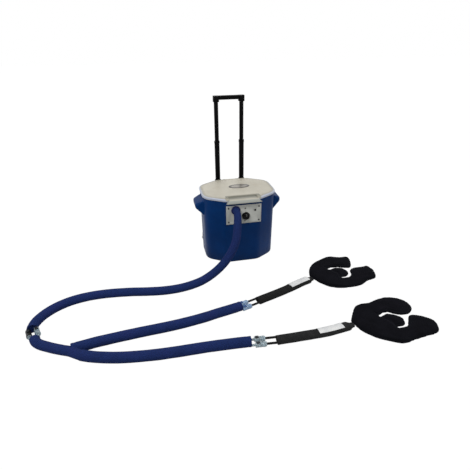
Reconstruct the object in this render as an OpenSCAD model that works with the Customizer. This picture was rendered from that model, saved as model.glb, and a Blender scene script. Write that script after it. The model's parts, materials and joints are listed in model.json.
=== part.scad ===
// Hot and cold therapy machine: a wheeled cooler that pumps water through a sleeved hose to two wrap pads.
// Origin at the middle of the cooler's base on the floor, +X to the right, +Y to the back, +Z up.
// The control panel faces -Y.

/* [Cooler body] */
// Width of the body under the lid
body_w = 372; // [352:2:392]
// Depth of the body under the lid
body_d = 296; // [286:2:316]
// Height of the body's rim above the floor
body_h = 346; // [336:2:366]
// How far each side leans in from the rim to the base
body_taper = 5; // [3:0.5:8]
// Half length of the body's straight front and back
body_straight_x = 84; // [78:1:92]
// Half length of the body's straight sides
body_straight_y = 80; // [74:1:86]
// Radius of the body's upright corners
body_corner_r = 70; // [62:1:74]
// Radius of the body's bottom edge
base_edge_r = 10; // [6:1:14]
// Thickness of the outer shell
shell_t = 3; // [2.5:0.5:4]
// Thickness of the insulating foam at the rim
foam_t = 20; // [18:1:22]
// Extra foam thickness at the tub's floor
foam_lean = 17; // [14:1:20]
// Height of the foam under the tub
foam_floor = 22; // [18:1:26]
// Thickness of the inner tub
liner_t = 2.5; // [2:0.5:3.5]

/* [Side grips] */
// How far each side grip stands out
grip_reach = 38; // [34:1:46]
// Length of each side grip along the side
side_grip_l = 110; // [96:2:120]
// Rounding radius of each side grip
side_grip_r = 15; // [13:1:16]
// Width of the finger space under each side grip
finger_gap = 18; // [15:1:20]

/* [Lid] */
// How far the lid stands out past the body
lid_overhang = 3.5; // [3:0.5:5]
// Half length of the lid's straight front and back
lid_straight_x = 84; // [78:1:90]
// Half length of the lid's straight sides
lid_straight_y = 84; // [78:1:90]
// Thickness of the lid's white rim
rim_t = 4.5; // [3.5:0.5:6]
// Height of the lid's cover above the rim
cover_h = 9.5; // [8.5:0.5:12]
// Rounding radius of the cover's top edge
cover_edge_r = 7; // [5:0.5:8]
// Wall thickness of the cover
cover_t = 2.5; // [2:0.5:3]
// How far the lid's plug reaches down into the tub
plug_h = 14; // [10:1:18]
// Gap between the lid's plug and the tub
plug_gap = 2; // [1.5:0.5:3]
// Width of the front pull flap
flap_w = 178; // [160:2:186]
// How far the pull flap hangs below the cover's dip
flap_drop = 15; // [13:1:18]
// Depth of the finger dip in the cover
dip_depth = 6.5; // [4:0.5:7]
// Front to back size of the finger dip
dip_d = 41; // [34:1:44]
// Length of the blank oval badge
badge_l = 110; // [90:2:120]
// Width of the blank oval badge
badge_w = 56; // [40:2:64]
// Thickness of the blank oval badge
badge_t = 1.2; // [0.8:0.2:2]

/* [Control panel] */
// Width of the panel plate
panel_w = 178; // [172:1:182]
// Height of the panel plate
panel_h = 99; // [95:1:102]
// Thickness of the panel plate
panel_t = 2; // [1.5:0.5:3]
// Width between the panel's screws
screw_span_x = 154; // [148:1:158]
// Height between the panel's screws
screw_span_z = 74; // [70:1:80]
// Diameter of the panel's screws
screw_d = 4; // [3:0.5:5]
// Diameter of the control knob
knob_d = 40; // [34:1:42]
// How far the knob stands out
knob_h = 15; // [12:1:20]
// Diameter of the control's shaft
knob_shaft_d = 6; // [5:0.5:8]
// Diameter of the indicator lamp's lens
lamp_d = 8; // [6:1:10]
// Diameter of the power plug that the jack takes
jack_plug_d = 5.5; // [5:0.1:6]
// Outer diameter of the hose gland's flange
gland_d = 46; // [44:1:50]

/* [Pull handle] */
// Distance between the two poles
pole_span = 133; // [124:1:140]
// Distance from the body's back to the poles' centres
pole_gap = 26.4; // [25.4:0.2:30]
// Diameter of the fixed outer tubes
outer_tube_d = 30.6; // [30:0.2:32]
// Diameter of the middle tubes
middle_tube_d = 26.6; // [25:0.2:27]
// Diameter of the inner tubes
inner_tube_d = 22; // [19:0.5:22.5]
// Wall thickness of all the tubes
tube_t = 1.3; // [1:0.1:1.6]
// Running clearance between sliding parts, on the radius
slide_fit = 0.05; // [0.03:0.01:0.08]
// Height of the handle's top above the floor when pulled out
handle_top = 793; // [782:1:802]
// Height of the joint between middle and inner tubes
stage_joint_z = 553; // [545:1:560]
// Width of the hand grip outside its ends
grip_w = 162; // [156:1:170]
// Front to back size of the hand grip
grip_depth = 28; // [26:1:32]
// Height of the hand grip's bar
grip_bar_h = 19; // [16:1:22]
// Height of the hand grip's end blocks
grip_block_h = 29; // [26:1:34]

/* [Wheels] */
// Diameter of the wheels
wheel_d = 66; // [56:1:68]
// Width of the wheels
wheel_w = 20; // [16:1:22]
// Diameter of the axle
axle_d = 8; // [6:0.5:10]
// Height of the wheels' lowest point above the floor
wheel_lift = 0.8; // [0.5:0.1:2]

/* [Pump] */
// Diameter of the pump's motor can
can_d = 42; // [38:1:46]
// Length of the pump's motor can
can_l = 48; // [42:1:54]
// Diameter of the pump's impeller
impeller_d = 34; // [30:1:36]
// Outer diameter of the water tubes
water_tube_d = 9.5; // [8:0.5:10]

/* [Hoses and couplings] */
// Diameter of the main and trunk hose sleeves
hose_d = 40; // [38:0.5:41]
// Diameter of the branch hose sleeves
branch_d = 42; // [39:0.5:43]
// Distance between the two tubes of a coupling pair
pair_span = 31; // [29:0.5:32]
// Diameter of a coupling's body
coupling_d = 21; // [20:0.5:22]
// Length of a coupling's body
coupling_l = 38; // [34:1:42]
// Diameter of the plug's nose
nose_d = 12.9; // [11:0.1:14]
// Travel of a latch button
latch_travel = 2; // [1.5:0.5:2.5]

/* [Pads] */
// Thickness of the wrap pads
pad_t = 14; // [10:1:20]
// Width of the pads' black hose sleeves
pad_sleeve_w = 48; // [44:1:52]
// Height of the pads' black hose sleeves
pad_sleeve_h = 24; // [20:1:26]

/* [Hidden] */

round_fn = 64;
hull_fn = 28;
arc_steps = 5;
eps = 0.1;
seat_gap = 0.3;

// ---- shared geometry ----

function unit(v) = v / norm(v);

// Points of an arc of radius r that rounds corner b between its neighbours a and c.
function round_corner(a, b, c, r) =
    let (u = unit(a - b), w = unit(c - b), half = acos(u * w) / 2)
    let (centre = b + unit(u + w) * r / sin(half), start = b + u * r / tan(half) - centre)
    let (first = atan2(start[1], start[0]), turn = 180 - 2 * half)
    [for (i = [0:arc_steps]) centre + r * [cos(first + turn * i / arc_steps),
        sin(first + turn * i / arc_steps)]];

// A rectangle with long chamfers and rounded corners, drawn s inside its full size.
function eight_sided(half_w, half_d, straight_x, straight_y, r, s) =
    let (slope = atan2(half_d - straight_y, half_w - straight_x))
    let (w = half_w - s, d = half_d - s)
    let (x = straight_x - s * tan(slope / 2), y = straight_y - s * tan((90 - slope) / 2))
    let (p = [[w, -y], [w, y], [x, d], [-x, d], [-w, y], [-w, -y], [-x, -d], [x, -d]])
    [for (i = [0:7]) each round_corner(p[(i + 7) % 8], p[i], p[(i + 1) % 8], r - s)];

function level(points, z) = [for (p = points) [p[0], p[1], z]];

// A closed solid through a stack of rings that have as many points each.
module loft(rings) {
    n = len(rings[0]);
    last = len(rings) - 1;
    polyhedron(
        points = [for (ring = rings) each ring],
        faces = concat(
            [[for (i = [0:n - 1]) i]],
            [[for (i = [n - 1:-1:0]) last * n + i]],
            [for (k = [0:last - 1]) for (i = [0:n - 1])
                let (j = (i + 1) % n) [k * n + i, (k + 1) * n + i, (k + 1) * n + j, k * n + j]]));
}

// Direction of a route at point i, or the direction given for its end.
function heading(route, i, start, end) =
    i == 0 ? unit(start) :
    i == len(route) - 1 ? unit(end) :
    unit(unit(route[i + 1] - route[i]) + unit(route[i] - route[i - 1]));

// A ring across a route: half width a to the side and half height b upwards, with side_ref as sideways.
function cross_ring(centre, along, a, b, sides, side_ref) =
    let (side = unit(side_ref == undef ? cross(along, [0, 0, 1]) : side_ref - along * (side_ref * along)))
    let (up = cross(along, side))
    [for (i = [0:sides - 1]) centre + a * cos(360 * i / sides) * side + b * sin(360 * i / sides) * up];

// A tube swept along a route; sizes gives [half width, half height] for each point.
module sweep(route, sizes, start, end, sides = 10, side_ref = undef) {
    loft([for (i = [0:len(route) - 1])
        cross_ring(route[i], heading(route, i, start, end), sizes[i][0], sizes[i][1], sides, side_ref)]);
}

function round_sizes(route, d) = [for (p = route) [d / 2, d / 2]];

module along_x(x, y, z) { translate([x, y, z]) rotate([0, 90, 0]) children(); }
module along_y(x, y, z) { translate([x, y, z]) rotate([-90, 0, 0]) children(); }
module rod_y(x, z, y_from, y_to, r, fn = round_fn) { along_y(x, y_from, z) cylinder(h = y_to - y_from,
    r = r, $fn = fn); }
module rod_z(x, y, z_from, z_to, r) { translate([x, y, z_from]) cylinder(h = z_to - z_from, r = r,
    $fn = round_fn); }
module box(low, high) { translate(low) cube(high - low); }

// A closed smooth curve through hand-placed points, as an outline.
function spline_point(a, b, c, d, t) =
    0.5 * ((2 * b) + (c - a) * t + (2 * a - 5 * b + 4 * c - d) * t * t + (3 * b - 3 * c + d - a) * t * t * t);
function closed_curve(p, steps) = let (n = len(p))
    [for (i = [0:n - 1]) for (k = [0:steps - 1])
        spline_point(p[(i + n - 1) % n], p[i], p[(i + 1) % n], p[(i + 2) % n], k / steps)];

// ---- cooler body ----

half_w = body_w / 2;
half_d = body_d / 2;
tub_floor = shell_t + foam_floor + liner_t;
liner_flange_t = 3;

function body_ring(z, s) =
    level(eight_sided(half_w, half_d, body_straight_x, body_straight_y, body_corner_r,
        s + body_taper * (1 - z / body_h)), z);
function tub_inset(z) = shell_t + foam_t + foam_lean * (1 - z / body_h);
function tub_ring(z, s) = body_ring(z, tub_inset(z) + s);

body_outer_rings = concat(
    [for (q = [0:22.5:90]) body_ring(base_edge_r * (1 - cos(q)), base_edge_r * (1 - sin(q)))],
    [body_ring(body_h, 0)]);
function cavity_rings(s) = [
    body_ring(s, s + base_edge_r / 2),
    body_ring(s + base_edge_r, s),
    body_ring(body_h + eps, s)];

panel_mid = [3, body_h - 71];
panel_back_y = -half_d - 0.6;
panel_front_y = panel_back_y - panel_t;
land_margin = 3;
land_flare = 7;
port = [-38, body_h - 46];
port_r = 15;
knob_at = [13, body_h - 80];
lamp_at = [10, body_h - 40];
jack_at = [61, body_h - 53.5];
lead_hole = [10, body_h - 56];
lead_d = 4;
bay_low_drop = 106;
bay_high_drop = 30;
bay_x = [-14, 74];
bay_z = [body_h - bay_low_drop, body_h - bay_high_drop];
bay_back_y = -half_d + shell_t + foam_t - 5;

axle_y = half_d - 36;
axle_z = wheel_d / 2 + wheel_lift;
well_gap = 3;
well_x = half_w - 36;
well_y = axle_y - wheel_d / 2 - well_gap;
well_top = axle_z + wheel_d / 2 + well_gap;
axle_fit = 0.03;

module wheel_wells(grow) {
    for (side = [-1, 1]) scale([side, 1, 1])
        box([well_x - grow, well_y - grow, -1], [half_w + 10, half_d + 10, well_top + grow]);
}
module axle_bore(r) { along_x(-half_w - 10, axle_y, axle_z) cylinder(h = body_w + 20, r = r,
    $fn = round_fn); }

// The raised flat land that the panel is screwed to.
module panel_land() {
    hull() {
        box([panel_mid[0] - panel_w / 2 - land_margin, panel_back_y,
            panel_mid[1] - panel_h / 2 - land_margin],
            [panel_mid[0] + panel_w / 2 + land_margin, panel_back_y + 1,
                panel_mid[1] + panel_h / 2 + land_margin]);
        box([panel_mid[0] - panel_w / 2 - land_flare, -half_d + 15,
            panel_mid[1] - panel_h / 2 - land_flare],
            [panel_mid[0] + panel_w / 2 + land_flare, -half_d + 16,
                panel_mid[1] + panel_h / 2 + land_flare]);
    }
}
module panel_screw_places() {
    for (x = [-1, 1]) for (z = [-1, 1])
        translate([panel_mid[0] + x * screw_span_x / 2, panel_back_y, panel_mid[1] + z * screw_span_z / 2])
            rotate([-90, 0, 0]) children();
}

side_grip_top = body_h - 22;
side_grip_low = body_h - 102;
side_grip_mid = body_h - 49;
module side_grip(side) {
    scale([side, 1, 1]) hull() {
        box([half_w - 6, -side_grip_l / 2, side_grip_low], [half_w - 5, side_grip_l / 2, side_grip_top]);
        for (y = [-1, 1]) for (z = [-7, 0])
            translate([half_w + grip_reach - side_grip_r, y * (side_grip_l / 2 - side_grip_r - 2),
                side_grip_mid + z])
                sphere(r = side_grip_r, $fn = hull_fn);
    }
}
finger_x = half_w + 6;
finger_l = side_grip_l - 2 * side_grip_r;
finger_top = side_grip_mid - 3;
module finger_space(side) {
    scale([side, 1, 1]) {
        box([finger_x, -finger_l / 2, side_grip_low - 20], [finger_x + finger_gap, finger_l / 2,
            finger_top]);
        rod_y(finger_x + finger_gap / 2, finger_top, -finger_l / 2, finger_l / 2, finger_gap / 2);
    }
}

module cooler_shell() {
    color([0.06, 0.17, 0.36]) difference() {
        union() {
            loft(body_outer_rings);
            panel_land();
            side_grip(-1);
            side_grip(1);
        }
        difference() {
            loft(cavity_rings(shell_t));
            wheel_wells(shell_t);
        }
        wheel_wells(0);
        axle_bore(axle_d / 2 + axle_fit);
        finger_space(-1);
        finger_space(1);
        rod_y(port[0], port[1], -half_d - 10, -half_d + 40, port_r + 0.2);
        box([bay_x[0], -half_d - 5, bay_z[0]], [bay_x[1], bay_back_y, bay_z[1]]);
        panel_screw_places() translate([0, 0, -1]) cylinder(h = 10, r = screw_d / 2 + 0.02, $fn = 32);
    }
}

module foam_insulation() {
    color([0.93, 0.91, 0.82]) difference() {
        loft([
            body_ring(shell_t + seat_gap, shell_t + seat_gap + base_edge_r / 2),
            body_ring(shell_t + seat_gap + base_edge_r, shell_t + seat_gap),
            body_ring(body_h - liner_flange_t - seat_gap, shell_t + seat_gap)]);
        loft([
            tub_ring(tub_floor - liner_t - seat_gap, -seat_gap),
            tub_ring(body_h, -seat_gap)]);
        wheel_wells(shell_t + seat_gap);
        axle_bore(axle_d / 2 + 0.5);
        rod_y(port[0], port[1], -half_d - 10, -half_d + 40, port_r + 0.2);
        rod_y(lead_hole[0], lead_hole[1], -half_d - 10, -half_d + 40, lead_d / 2 + 0.3);
        box([bay_x[0], -half_d - 5, bay_z[0]], [bay_x[1], bay_back_y, bay_z[1]]);
    }
}

module cooler_liner() {
    color([0.93, 0.94, 0.95]) difference() {
        union() {
            loft([tub_ring(tub_floor - liner_t, 0), tub_ring(body_h, 0)]);
            loft([
                body_ring(body_h - liner_flange_t, shell_t + seat_gap),
                body_ring(body_h, shell_t + seat_gap)]);
        }
        loft([tub_ring(tub_floor, liner_t), tub_ring(body_h + eps, liner_t)]);
        rod_y(port[0], port[1], -half_d - 10, -half_d + 40, port_r + 0.2);
        rod_y(lead_hole[0], lead_hole[1], -half_d - 10, -half_d + 40, lead_d / 2 + 0.3);
    }
}

// ---- lid and hinge ----

hinge_y = half_d + 4;
hinge_z = body_h + 6;
hinge_r = 5;
hinge_pin_r = 2;
hinge_fit = 0.06;
knuckle_half = 28.5;
ear_in = 29;
ear_out = 43;
ear_fit = 0.02;

lid_half_w = half_w + lid_overhang;
lid_half_d = half_d + lid_overhang;
rim_top = body_h + rim_t;
lid_top = rim_top + cover_h;
function lid_ring(z, s) =
    level(eight_sided(lid_half_w, lid_half_d, lid_straight_x, lid_straight_y, body_corner_r, s), z);

flap_mid_x = 3;
flap_out = 16;
flap_t = 3.5;
flap_top_z = lid_top - dip_depth;
flap_root_y = -lid_half_d + 1.5;
flap_round = flap_drop - 3;

module lid_liner() {
    color([0.80, 0.84, 0.90]) difference() {
        union() {
            loft([lid_ring(body_h, 0.8), lid_ring(rim_top, 0.8)]);
            loft([
                tub_ring(body_h - plug_h, liner_t + plug_gap),
                tub_ring(body_h + 1, liner_t + plug_gap)]);
        }
        loft([
            tub_ring(body_h - plug_h + liner_t, 2 * liner_t + plug_gap),
            tub_ring(rim_top + eps, 2 * liner_t + plug_gap)]);
        box([-ear_out - 3, half_d - 4, body_h - 1], [ear_out + 3, half_d + 10, rim_top + 1]);
    }
}

module flap() {
    foot = flap_top_z - flap_drop;
    translate([flap_mid_x - flap_w / 2, 0, 0]) rotate([90, 0, 90]) {
        linear_extrude(flap_w) polygon(concat(
            [for (t = [0:15:90]) [flap_root_y - flap_out * sin(t),
                flap_top_z - flap_round + flap_round * cos(t)]],
            [[flap_root_y - flap_out, foot + 1], [flap_root_y - flap_out + 1, foot],
             [flap_root_y - flap_out + flap_t, foot]],
            [for (t = [90:-15:0]) [flap_root_y - (flap_out - flap_t) * sin(t),
                flap_top_z - flap_round + (flap_round - flap_t + 0.8) * cos(t)]]));
        for (x = [0, flap_w - cover_t]) translate([0, 0, x]) linear_extrude(cover_t) polygon(concat(
            [for (t = [15:15:90]) [flap_root_y - flap_out * sin(t),
                flap_top_z - flap_round + flap_round * cos(t)]],
            [[flap_root_y - flap_out, foot + 1], [-lid_half_d - 0.5, foot + 7], [-lid_half_d - 0.5,
                rim_top]]));
    }
}
module finger_dip() {
    dip_back = -lid_half_d + dip_d;
    translate([flap_mid_x - flap_w / 2 + 5, 0, 0]) rotate([90, 0, 90]) linear_extrude(flap_w - 10)
        polygon([[dip_back + 1, lid_top + 1], [dip_back, lid_top], [dip_back - 4, flap_top_z],
            [flap_root_y - flap_out - 2, flap_top_z], [flap_root_y - flap_out - 2, lid_top + 1]]);
}

hollow_front_y = -lid_half_d + dip_d + 7;
hollow_back_y = half_d - 8;
module cover_hollow(low, s) {
    intersection() {
        loft([lid_ring(low, 4 + s), lid_ring(lid_top - cover_t - s, 4 + s)]);
        box([-body_w, hollow_front_y + s, body_h], [body_w, hollow_back_y - s, lid_top]);
    }
}

module lid_shell() {
    color([0.76, 0.74, 0.68]) difference() {
        union() {
            loft(concat(
                [lid_ring(rim_top, 0)],
                [for (q = [0:22.5:90]) lid_ring(lid_top - cover_edge_r * (1 - sin(q)),
                    cover_edge_r * (1 - cos(q)))]));
            flap();
            box([-knuckle_half, half_d - 3.7, hinge_z - hinge_r], [knuckle_half, hinge_y, rim_top + 2]);
            along_x(-knuckle_half, hinge_y, hinge_z) cylinder(h = 2 * knuckle_half, r = hinge_r,
                $fn = round_fn);
        }
        cover_hollow(rim_top - 1, 0);
        finger_dip();
        along_x(-knuckle_half - 1, hinge_y, hinge_z)
            cylinder(h = 2 * knuckle_half + 2, r = hinge_pin_r + hinge_fit, $fn = round_fn);
        for (side = [-1, 1]) scale([side, 1, 1])
            box([knuckle_half, half_d - 3, hinge_z - hinge_r - 2], [ear_out + 1, hinge_y + 8,
                hinge_z + hinge_r + 0.5]);
    }
}

module plug_fill(top) {
    loft([
        tub_ring(body_h - plug_h + liner_t + seat_gap, 2 * liner_t + plug_gap + seat_gap),
        tub_ring(top, 2 * liner_t + plug_gap + seat_gap)]);
}
module lid_foam() {
    color([0.93, 0.91, 0.82]) union() {
        cover_hollow(rim_top + seat_gap, seat_gap);
        plug_fill(rim_top - seat_gap);
        intersection() {
            plug_fill(rim_top + 1);
            box([-body_w, hollow_front_y + seat_gap, body_h - plug_h], [body_w, hollow_back_y - seat_gap,
                lid_top]);
        }
    }
}

badge_at = [17, 19];
module lid_badge() {
    color([0.62, 0.62, 0.62]) translate([badge_at[0], badge_at[1], lid_top]) linear_extrude(badge_t)
        polygon([for (a = [0:7.5:352.5]) [badge_l / 2 * cos(a), badge_w / 2 * sin(a)]]);
}

bracket_t = 3;
bracket_gap = 0.3;
module hinge_bracket() {
    back = half_d + bracket_gap;
    color([0.05, 0.05, 0.06]) difference() {
        union() {
            box([-ear_out - 1, back, body_h - 20], [ear_out + 1, back + bracket_t, body_h - 2]);
            for (side = [-1, 1]) scale([side, 1, 1]) {
                box([ear_in, back, body_h - 20], [ear_out, hinge_y + hinge_r, hinge_z]);
                along_x(ear_in, hinge_y, hinge_z) cylinder(h = ear_out - ear_in, r = hinge_r,
                    $fn = round_fn);
            }
        }
        along_x(-ear_out - 1, hinge_y, hinge_z)
            cylinder(h = 2 * ear_out + 2, r = hinge_pin_r + ear_fit, $fn = round_fn);
    }
}
module hinge_pin() {
    color([0.7, 0.7, 0.72]) along_x(-ear_out, hinge_y, hinge_z)
        cylinder(h = 2 * ear_out, r = hinge_pin_r, $fn = round_fn);
}

// ---- control panel ----

screw_head_h = 2;
bush_d = 7;
module control_panel() {
    color([0.66, 0.66, 0.63]) difference() {
        box([panel_mid[0] - panel_w / 2, panel_front_y, panel_mid[1] - panel_h / 2],
            [panel_mid[0] + panel_w / 2, panel_back_y, panel_mid[1] + panel_h / 2]);
        rod_y(port[0], port[1], panel_front_y - 1, panel_back_y + 1, port_r + 0.1);
        rod_y(knob_at[0], knob_at[1], panel_front_y - 1, panel_back_y + 1, bush_d / 2 + 0.1);
        rod_y(lamp_at[0], lamp_at[1], panel_front_y - 1, panel_back_y + 1, lamp_d / 2 - 0.9);
        rod_y(jack_at[0], jack_at[1], panel_front_y - 1, panel_back_y + 1, jack_bush_r + 0.1);
        panel_screw_places() translate([0, 0, -panel_t - 1]) cylinder(h = panel_t + 2,
            r = screw_d / 2 + 0.2, $fn = 32);
    }
}
module panel_screws() {
    color([0.35, 0.35, 0.36]) panel_screw_places() {
        translate([0, 0, -panel_t - screw_head_h]) difference() {
            cylinder(h = screw_head_h, r = screw_d, $fn = 32);
            for (a = [0, 90]) rotate([0, 0, a]) translate([-screw_d * 0.6, -0.5, -1]) cube([screw_d * 1.2,
                1, 2]);
        }
        translate([0, 0, -panel_t]) cylinder(h = panel_t + 3, r = screw_d / 2, $fn = 32);
    }
}

gland_flange_t = 4;
gland_front_y = panel_front_y - gland_flange_t;
gland_tail_y = -half_d + 38;
gland_bore_r = 12.6;
tub_front_y = -half_d + tub_inset(port[1]) + liner_t + body_taper * (1 - port[1] / body_h);
module hose_gland() {
    color([0.10, 0.10, 0.11]) difference() {
        union() {
            rod_y(port[0], port[1], gland_front_y, panel_front_y, gland_d / 2);
            rod_y(port[0], port[1], panel_front_y, gland_tail_y, port_r);
        }
        rod_y(port[0], port[1], gland_front_y - 1, gland_tail_y + 1, gland_bore_r);
    }
}
module gland_nut() {
    color([0.14, 0.14, 0.15]) difference() {
        rod_y(port[0], port[1], tub_front_y + 1.25, tub_front_y + 7, port_r + 5, 6);
        rod_y(port[0], port[1], tub_front_y, tub_front_y + 8, port_r + 0.02);
    }
}

pot_r = 8.5;
pot_back_y = panel_back_y + 11;
bush_front_y = panel_front_y - 6;
shaft_back_y = panel_back_y + 8;
shaft_fit = 0.04;
module flow_control() {
    color([0.35, 0.36, 0.38]) difference() {
        union() {
            rod_y(knob_at[0], knob_at[1], panel_back_y, pot_back_y, pot_r);
            rod_y(knob_at[0], knob_at[1], bush_front_y, panel_back_y, bush_d / 2);
            rod_y(knob_at[0], knob_at[1], panel_front_y - 2, panel_front_y, bush_d / 2 + 2.5, 6);
        }
        rod_y(knob_at[0], knob_at[1], bush_front_y - 1, shaft_back_y, knob_shaft_d / 2 + shaft_fit);
    }
}
knob_back_y = panel_front_y - 2.5;
knob_front_y = knob_back_y - knob_h;
shaft_front_y = knob_front_y + 3;
module control_shaft() {
    color([0.7, 0.7, 0.72]) rod_y(knob_at[0], knob_at[1], shaft_front_y, shaft_back_y - 0.5,
        knob_shaft_d / 2);
}
knob_skirt_r = knob_d / 2;
knob_cap_r = knob_d / 2 - 4;
knob_flutes = 12;
module control_knob() {
    color([0.03, 0.03, 0.035]) difference() {
        union() {
            along_y(knob_at[0], knob_front_y, knob_at[1]) rotate_extrude($fn = round_fn) polygon([
                [0, 0], [knob_cap_r - 2, 0], [knob_cap_r, 2], [knob_cap_r + 0.8, knob_h - 4],
                [knob_skirt_r, knob_h - 3], [knob_skirt_r, knob_h], [0, knob_h]]);
            box([knob_at[0] - 2, knob_front_y - 1.5, knob_at[1] - knob_cap_r + 3],
                [knob_at[0] + 2, knob_front_y + 1, knob_at[1] + knob_cap_r - 1]);
        }
        for (i = [0:knob_flutes - 1]) along_y(knob_at[0], knob_front_y, knob_at[1]) rotate([0, 0,
            i * 360 / knob_flutes])
            translate([knob_cap_r + 2.2, 0, -1]) cylinder(h = knob_h - 3.5, r = 2.2, $fn = 24);
        rod_y(knob_at[0], knob_at[1], shaft_front_y, knob_back_y + 1, knob_shaft_d / 2 + 0.02);
        rod_y(knob_at[0], knob_at[1], bush_front_y - 0.6, knob_back_y + 1, bush_d / 2 + 3.5);
    }
}

board_t = 1.6;
module control_board() {
    z_top = lamp_at[1] + 5;
    color([0.10, 0.35, 0.18]) difference() {
        union() {
            box([bay_x[0] + 2, pot_back_y, bay_z[0] + 2], [jack_at[0] - 9, pot_back_y + board_t, z_top]);
            box([bay_x[0] + 34, pot_back_y - 7, bay_z[0] + 5], [bay_x[0] + 52, pot_back_y, bay_z[0] + 15]);
            box([bay_x[0] + 42, pot_back_y - 4, z_top - 24], [bay_x[0] + 54, pot_back_y, z_top - 14]);
        }
        rod_y(lead_hole[0], lead_hole[1], pot_back_y - 1, pot_back_y + board_t + 1, 0.8, 24);
    }
}
lamp_back_y = panel_back_y + 7;
module indicator_lamp() {
    color([0.55, 0.55, 0.50]) {
        along_y(lamp_at[0], panel_front_y - 2.6, lamp_at[1]) rotate_extrude($fn = round_fn) polygon(concat(
            [for (a = [90:-15:15]) [lamp_d / 2 * cos(a), 2.6 - 2.6 * sin(a)]],
            [[lamp_d / 2, 2.6], [lamp_d / 2 - 1, 2.6], [lamp_d / 2 - 1, lamp_back_y - panel_front_y + 2.6],
             [0, lamp_back_y - panel_front_y + 2.6]]));
        for (x = [-1.3, 1.3]) rod_y(lamp_at[0] + x, lamp_at[1], lamp_back_y, pot_back_y, 0.4, 16);
    }
}

jack_bush_r = 4;
jack_flange_r = 5;
jack_back_y = panel_back_y + 13;
jack_floor_y = panel_back_y + 9;
module power_jack() {
    color([0.04, 0.04, 0.045]) {
        difference() {
            union() {
                rod_y(jack_at[0], jack_at[1], panel_front_y - 1.6, panel_front_y, jack_flange_r);
                rod_y(jack_at[0], jack_at[1], panel_front_y, panel_back_y, jack_bush_r);
                rod_y(jack_at[0], jack_at[1], panel_back_y, panel_back_y + 2.5, jack_bush_r + 2.5, 6);
                rod_y(jack_at[0], jack_at[1], panel_back_y + 2.5, jack_back_y, jack_bush_r + 0.8);
            }
            rod_y(jack_at[0], jack_at[1], panel_front_y - 2, jack_floor_y, jack_plug_d / 2 + 0.1);
        }
        rod_y(jack_at[0], jack_at[1], panel_front_y + 1, jack_floor_y + 1, 1, 32);
    }
}

// ---- pump and water tubes ----

pump_x = -60;
pump_y = -10;
pump_z = tub_floor + 6 + can_d / 2 + 4;
volute_r = impeller_d / 2 + 6;
volute_back_y = pump_y - 10;
volute_t = 14;
volute_front_y = volute_back_y - volute_t;
cover_front_y = volute_front_y - 9;
can_back_y = volute_back_y + can_l;
pump_shaft_r = 2;
pump_shaft_fit = 0.05;
magnet_r = 8;
nozzle_x = pump_x + volute_r - 6;
nozzle_y = (volute_back_y + volute_front_y) / 2;
nozzle_top = pump_z + 38;
chamber_back_y = volute_back_y - 3;
module pump_housing() {
    color([0.09, 0.09, 0.10]) difference() {
        union() {
            rod_y(pump_x, pump_z, volute_back_y, can_back_y, can_d / 2);
            rod_y(pump_x, pump_z, volute_front_y, volute_back_y, volute_r);
            rod_z(nozzle_x, nozzle_y, pump_z, nozzle_top, 5);
            for (y = [volute_front_y + 2, can_back_y - 12]) for (x = [-1, 1])
                box([pump_x + x * 14 - 4, y, tub_floor], [pump_x + x * 14 + 4, y + 10, pump_z - can_d / 4]);
        }
        rod_y(pump_x, pump_z, volute_front_y - 1, chamber_back_y, impeller_d / 2 + 1);
        rod_y(pump_x, pump_z, chamber_back_y - 1, can_back_y - 14, magnet_r + 0.5);
        rod_y(pump_x, pump_z, can_back_y - 15, can_back_y - 6, pump_shaft_r + pump_shaft_fit);
        rod_z(nozzle_x, nozzle_y, pump_z + 4, nozzle_top + 1, 3);
    }
}
module pump_cover() {
    color([0.16, 0.16, 0.17]) difference() {
        rod_y(pump_x, pump_z, cover_front_y, volute_front_y, volute_r);
        rod_y(pump_x, pump_z, cover_front_y + 2, volute_front_y + 1, 9);
        rod_y(pump_x, pump_z, volute_front_y - 5, volute_front_y + 1, impeller_d / 2 - 2);
        for (x = [-2:2]) box([pump_x + x * 3.6 - 1, cover_front_y - 1, pump_z - 7],
            [pump_x + x * 3.6 + 1, cover_front_y + 3, pump_z + 7]);
    }
}
vanes = 6;
module pump_impeller() {
    disc_y = chamber_back_y - 1;
    color([0.75, 0.76, 0.78]) union() {
        rod_y(pump_x, pump_z, disc_y - 1.5, disc_y, impeller_d / 2);
        rod_y(pump_x, pump_z, disc_y - 8, disc_y, 4);
        rod_y(pump_x, pump_z, disc_y, can_back_y - 16, magnet_r);
        rod_y(pump_x, pump_z, can_back_y - 16, can_back_y - 7, pump_shaft_r);
        for (i = [0:vanes - 1]) along_y(pump_x, disc_y - 8, pump_z) rotate([0, 0, i * 360 / vanes])
            translate([3, -0.75, 0]) cube([impeller_d / 2 - 4, 1.5, 7]);
    }
}

tube_r = water_tube_d / 2;
supply_x = port[0] - 7;
return_x = port[0] + 7;
tube_out_y = gland_front_y + 0.2;
supply_route = [[nozzle_x, nozzle_y, nozzle_top], [nozzle_x, nozzle_y, 140], [nozzle_x, nozzle_y, 190],
    [nozzle_x, -29, 235], [nozzle_x, -36, 265], [-43, -52, 288], [-44, -75, 298], [supply_x, -95, port[1]],
    [supply_x, tube_out_y, port[1]]];
return_route = [[return_x, tube_out_y, port[1]], [return_x, -96, port[1]], [-29, -80, 296], [-24, -66, 282],
    [-18, -58, 255], [-14, -56, 220], [-12, -56, 185], [-12, -56, 150]];
lead_y = -half_d + 48;
lead_route = [[lead_hole[0], pot_back_y + board_t, lead_hole[1]], [10, lead_y - 17, lead_hole[1]],
    [10, lead_y - 8, 284], [9, lead_y - 4, 262], [6, lead_y, 200], [0, lead_y + 4, 120], [-6, lead_y + 12,
        60],
    [-12, lead_y + 26, 36], [-18, -50, 32], [-24, -10, 31], [-30, 30, 31], [-40, 46, 34], [-52, 46, 46],
    [pump_x, 40, pump_z], [pump_x, can_back_y, pump_z]];
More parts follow.
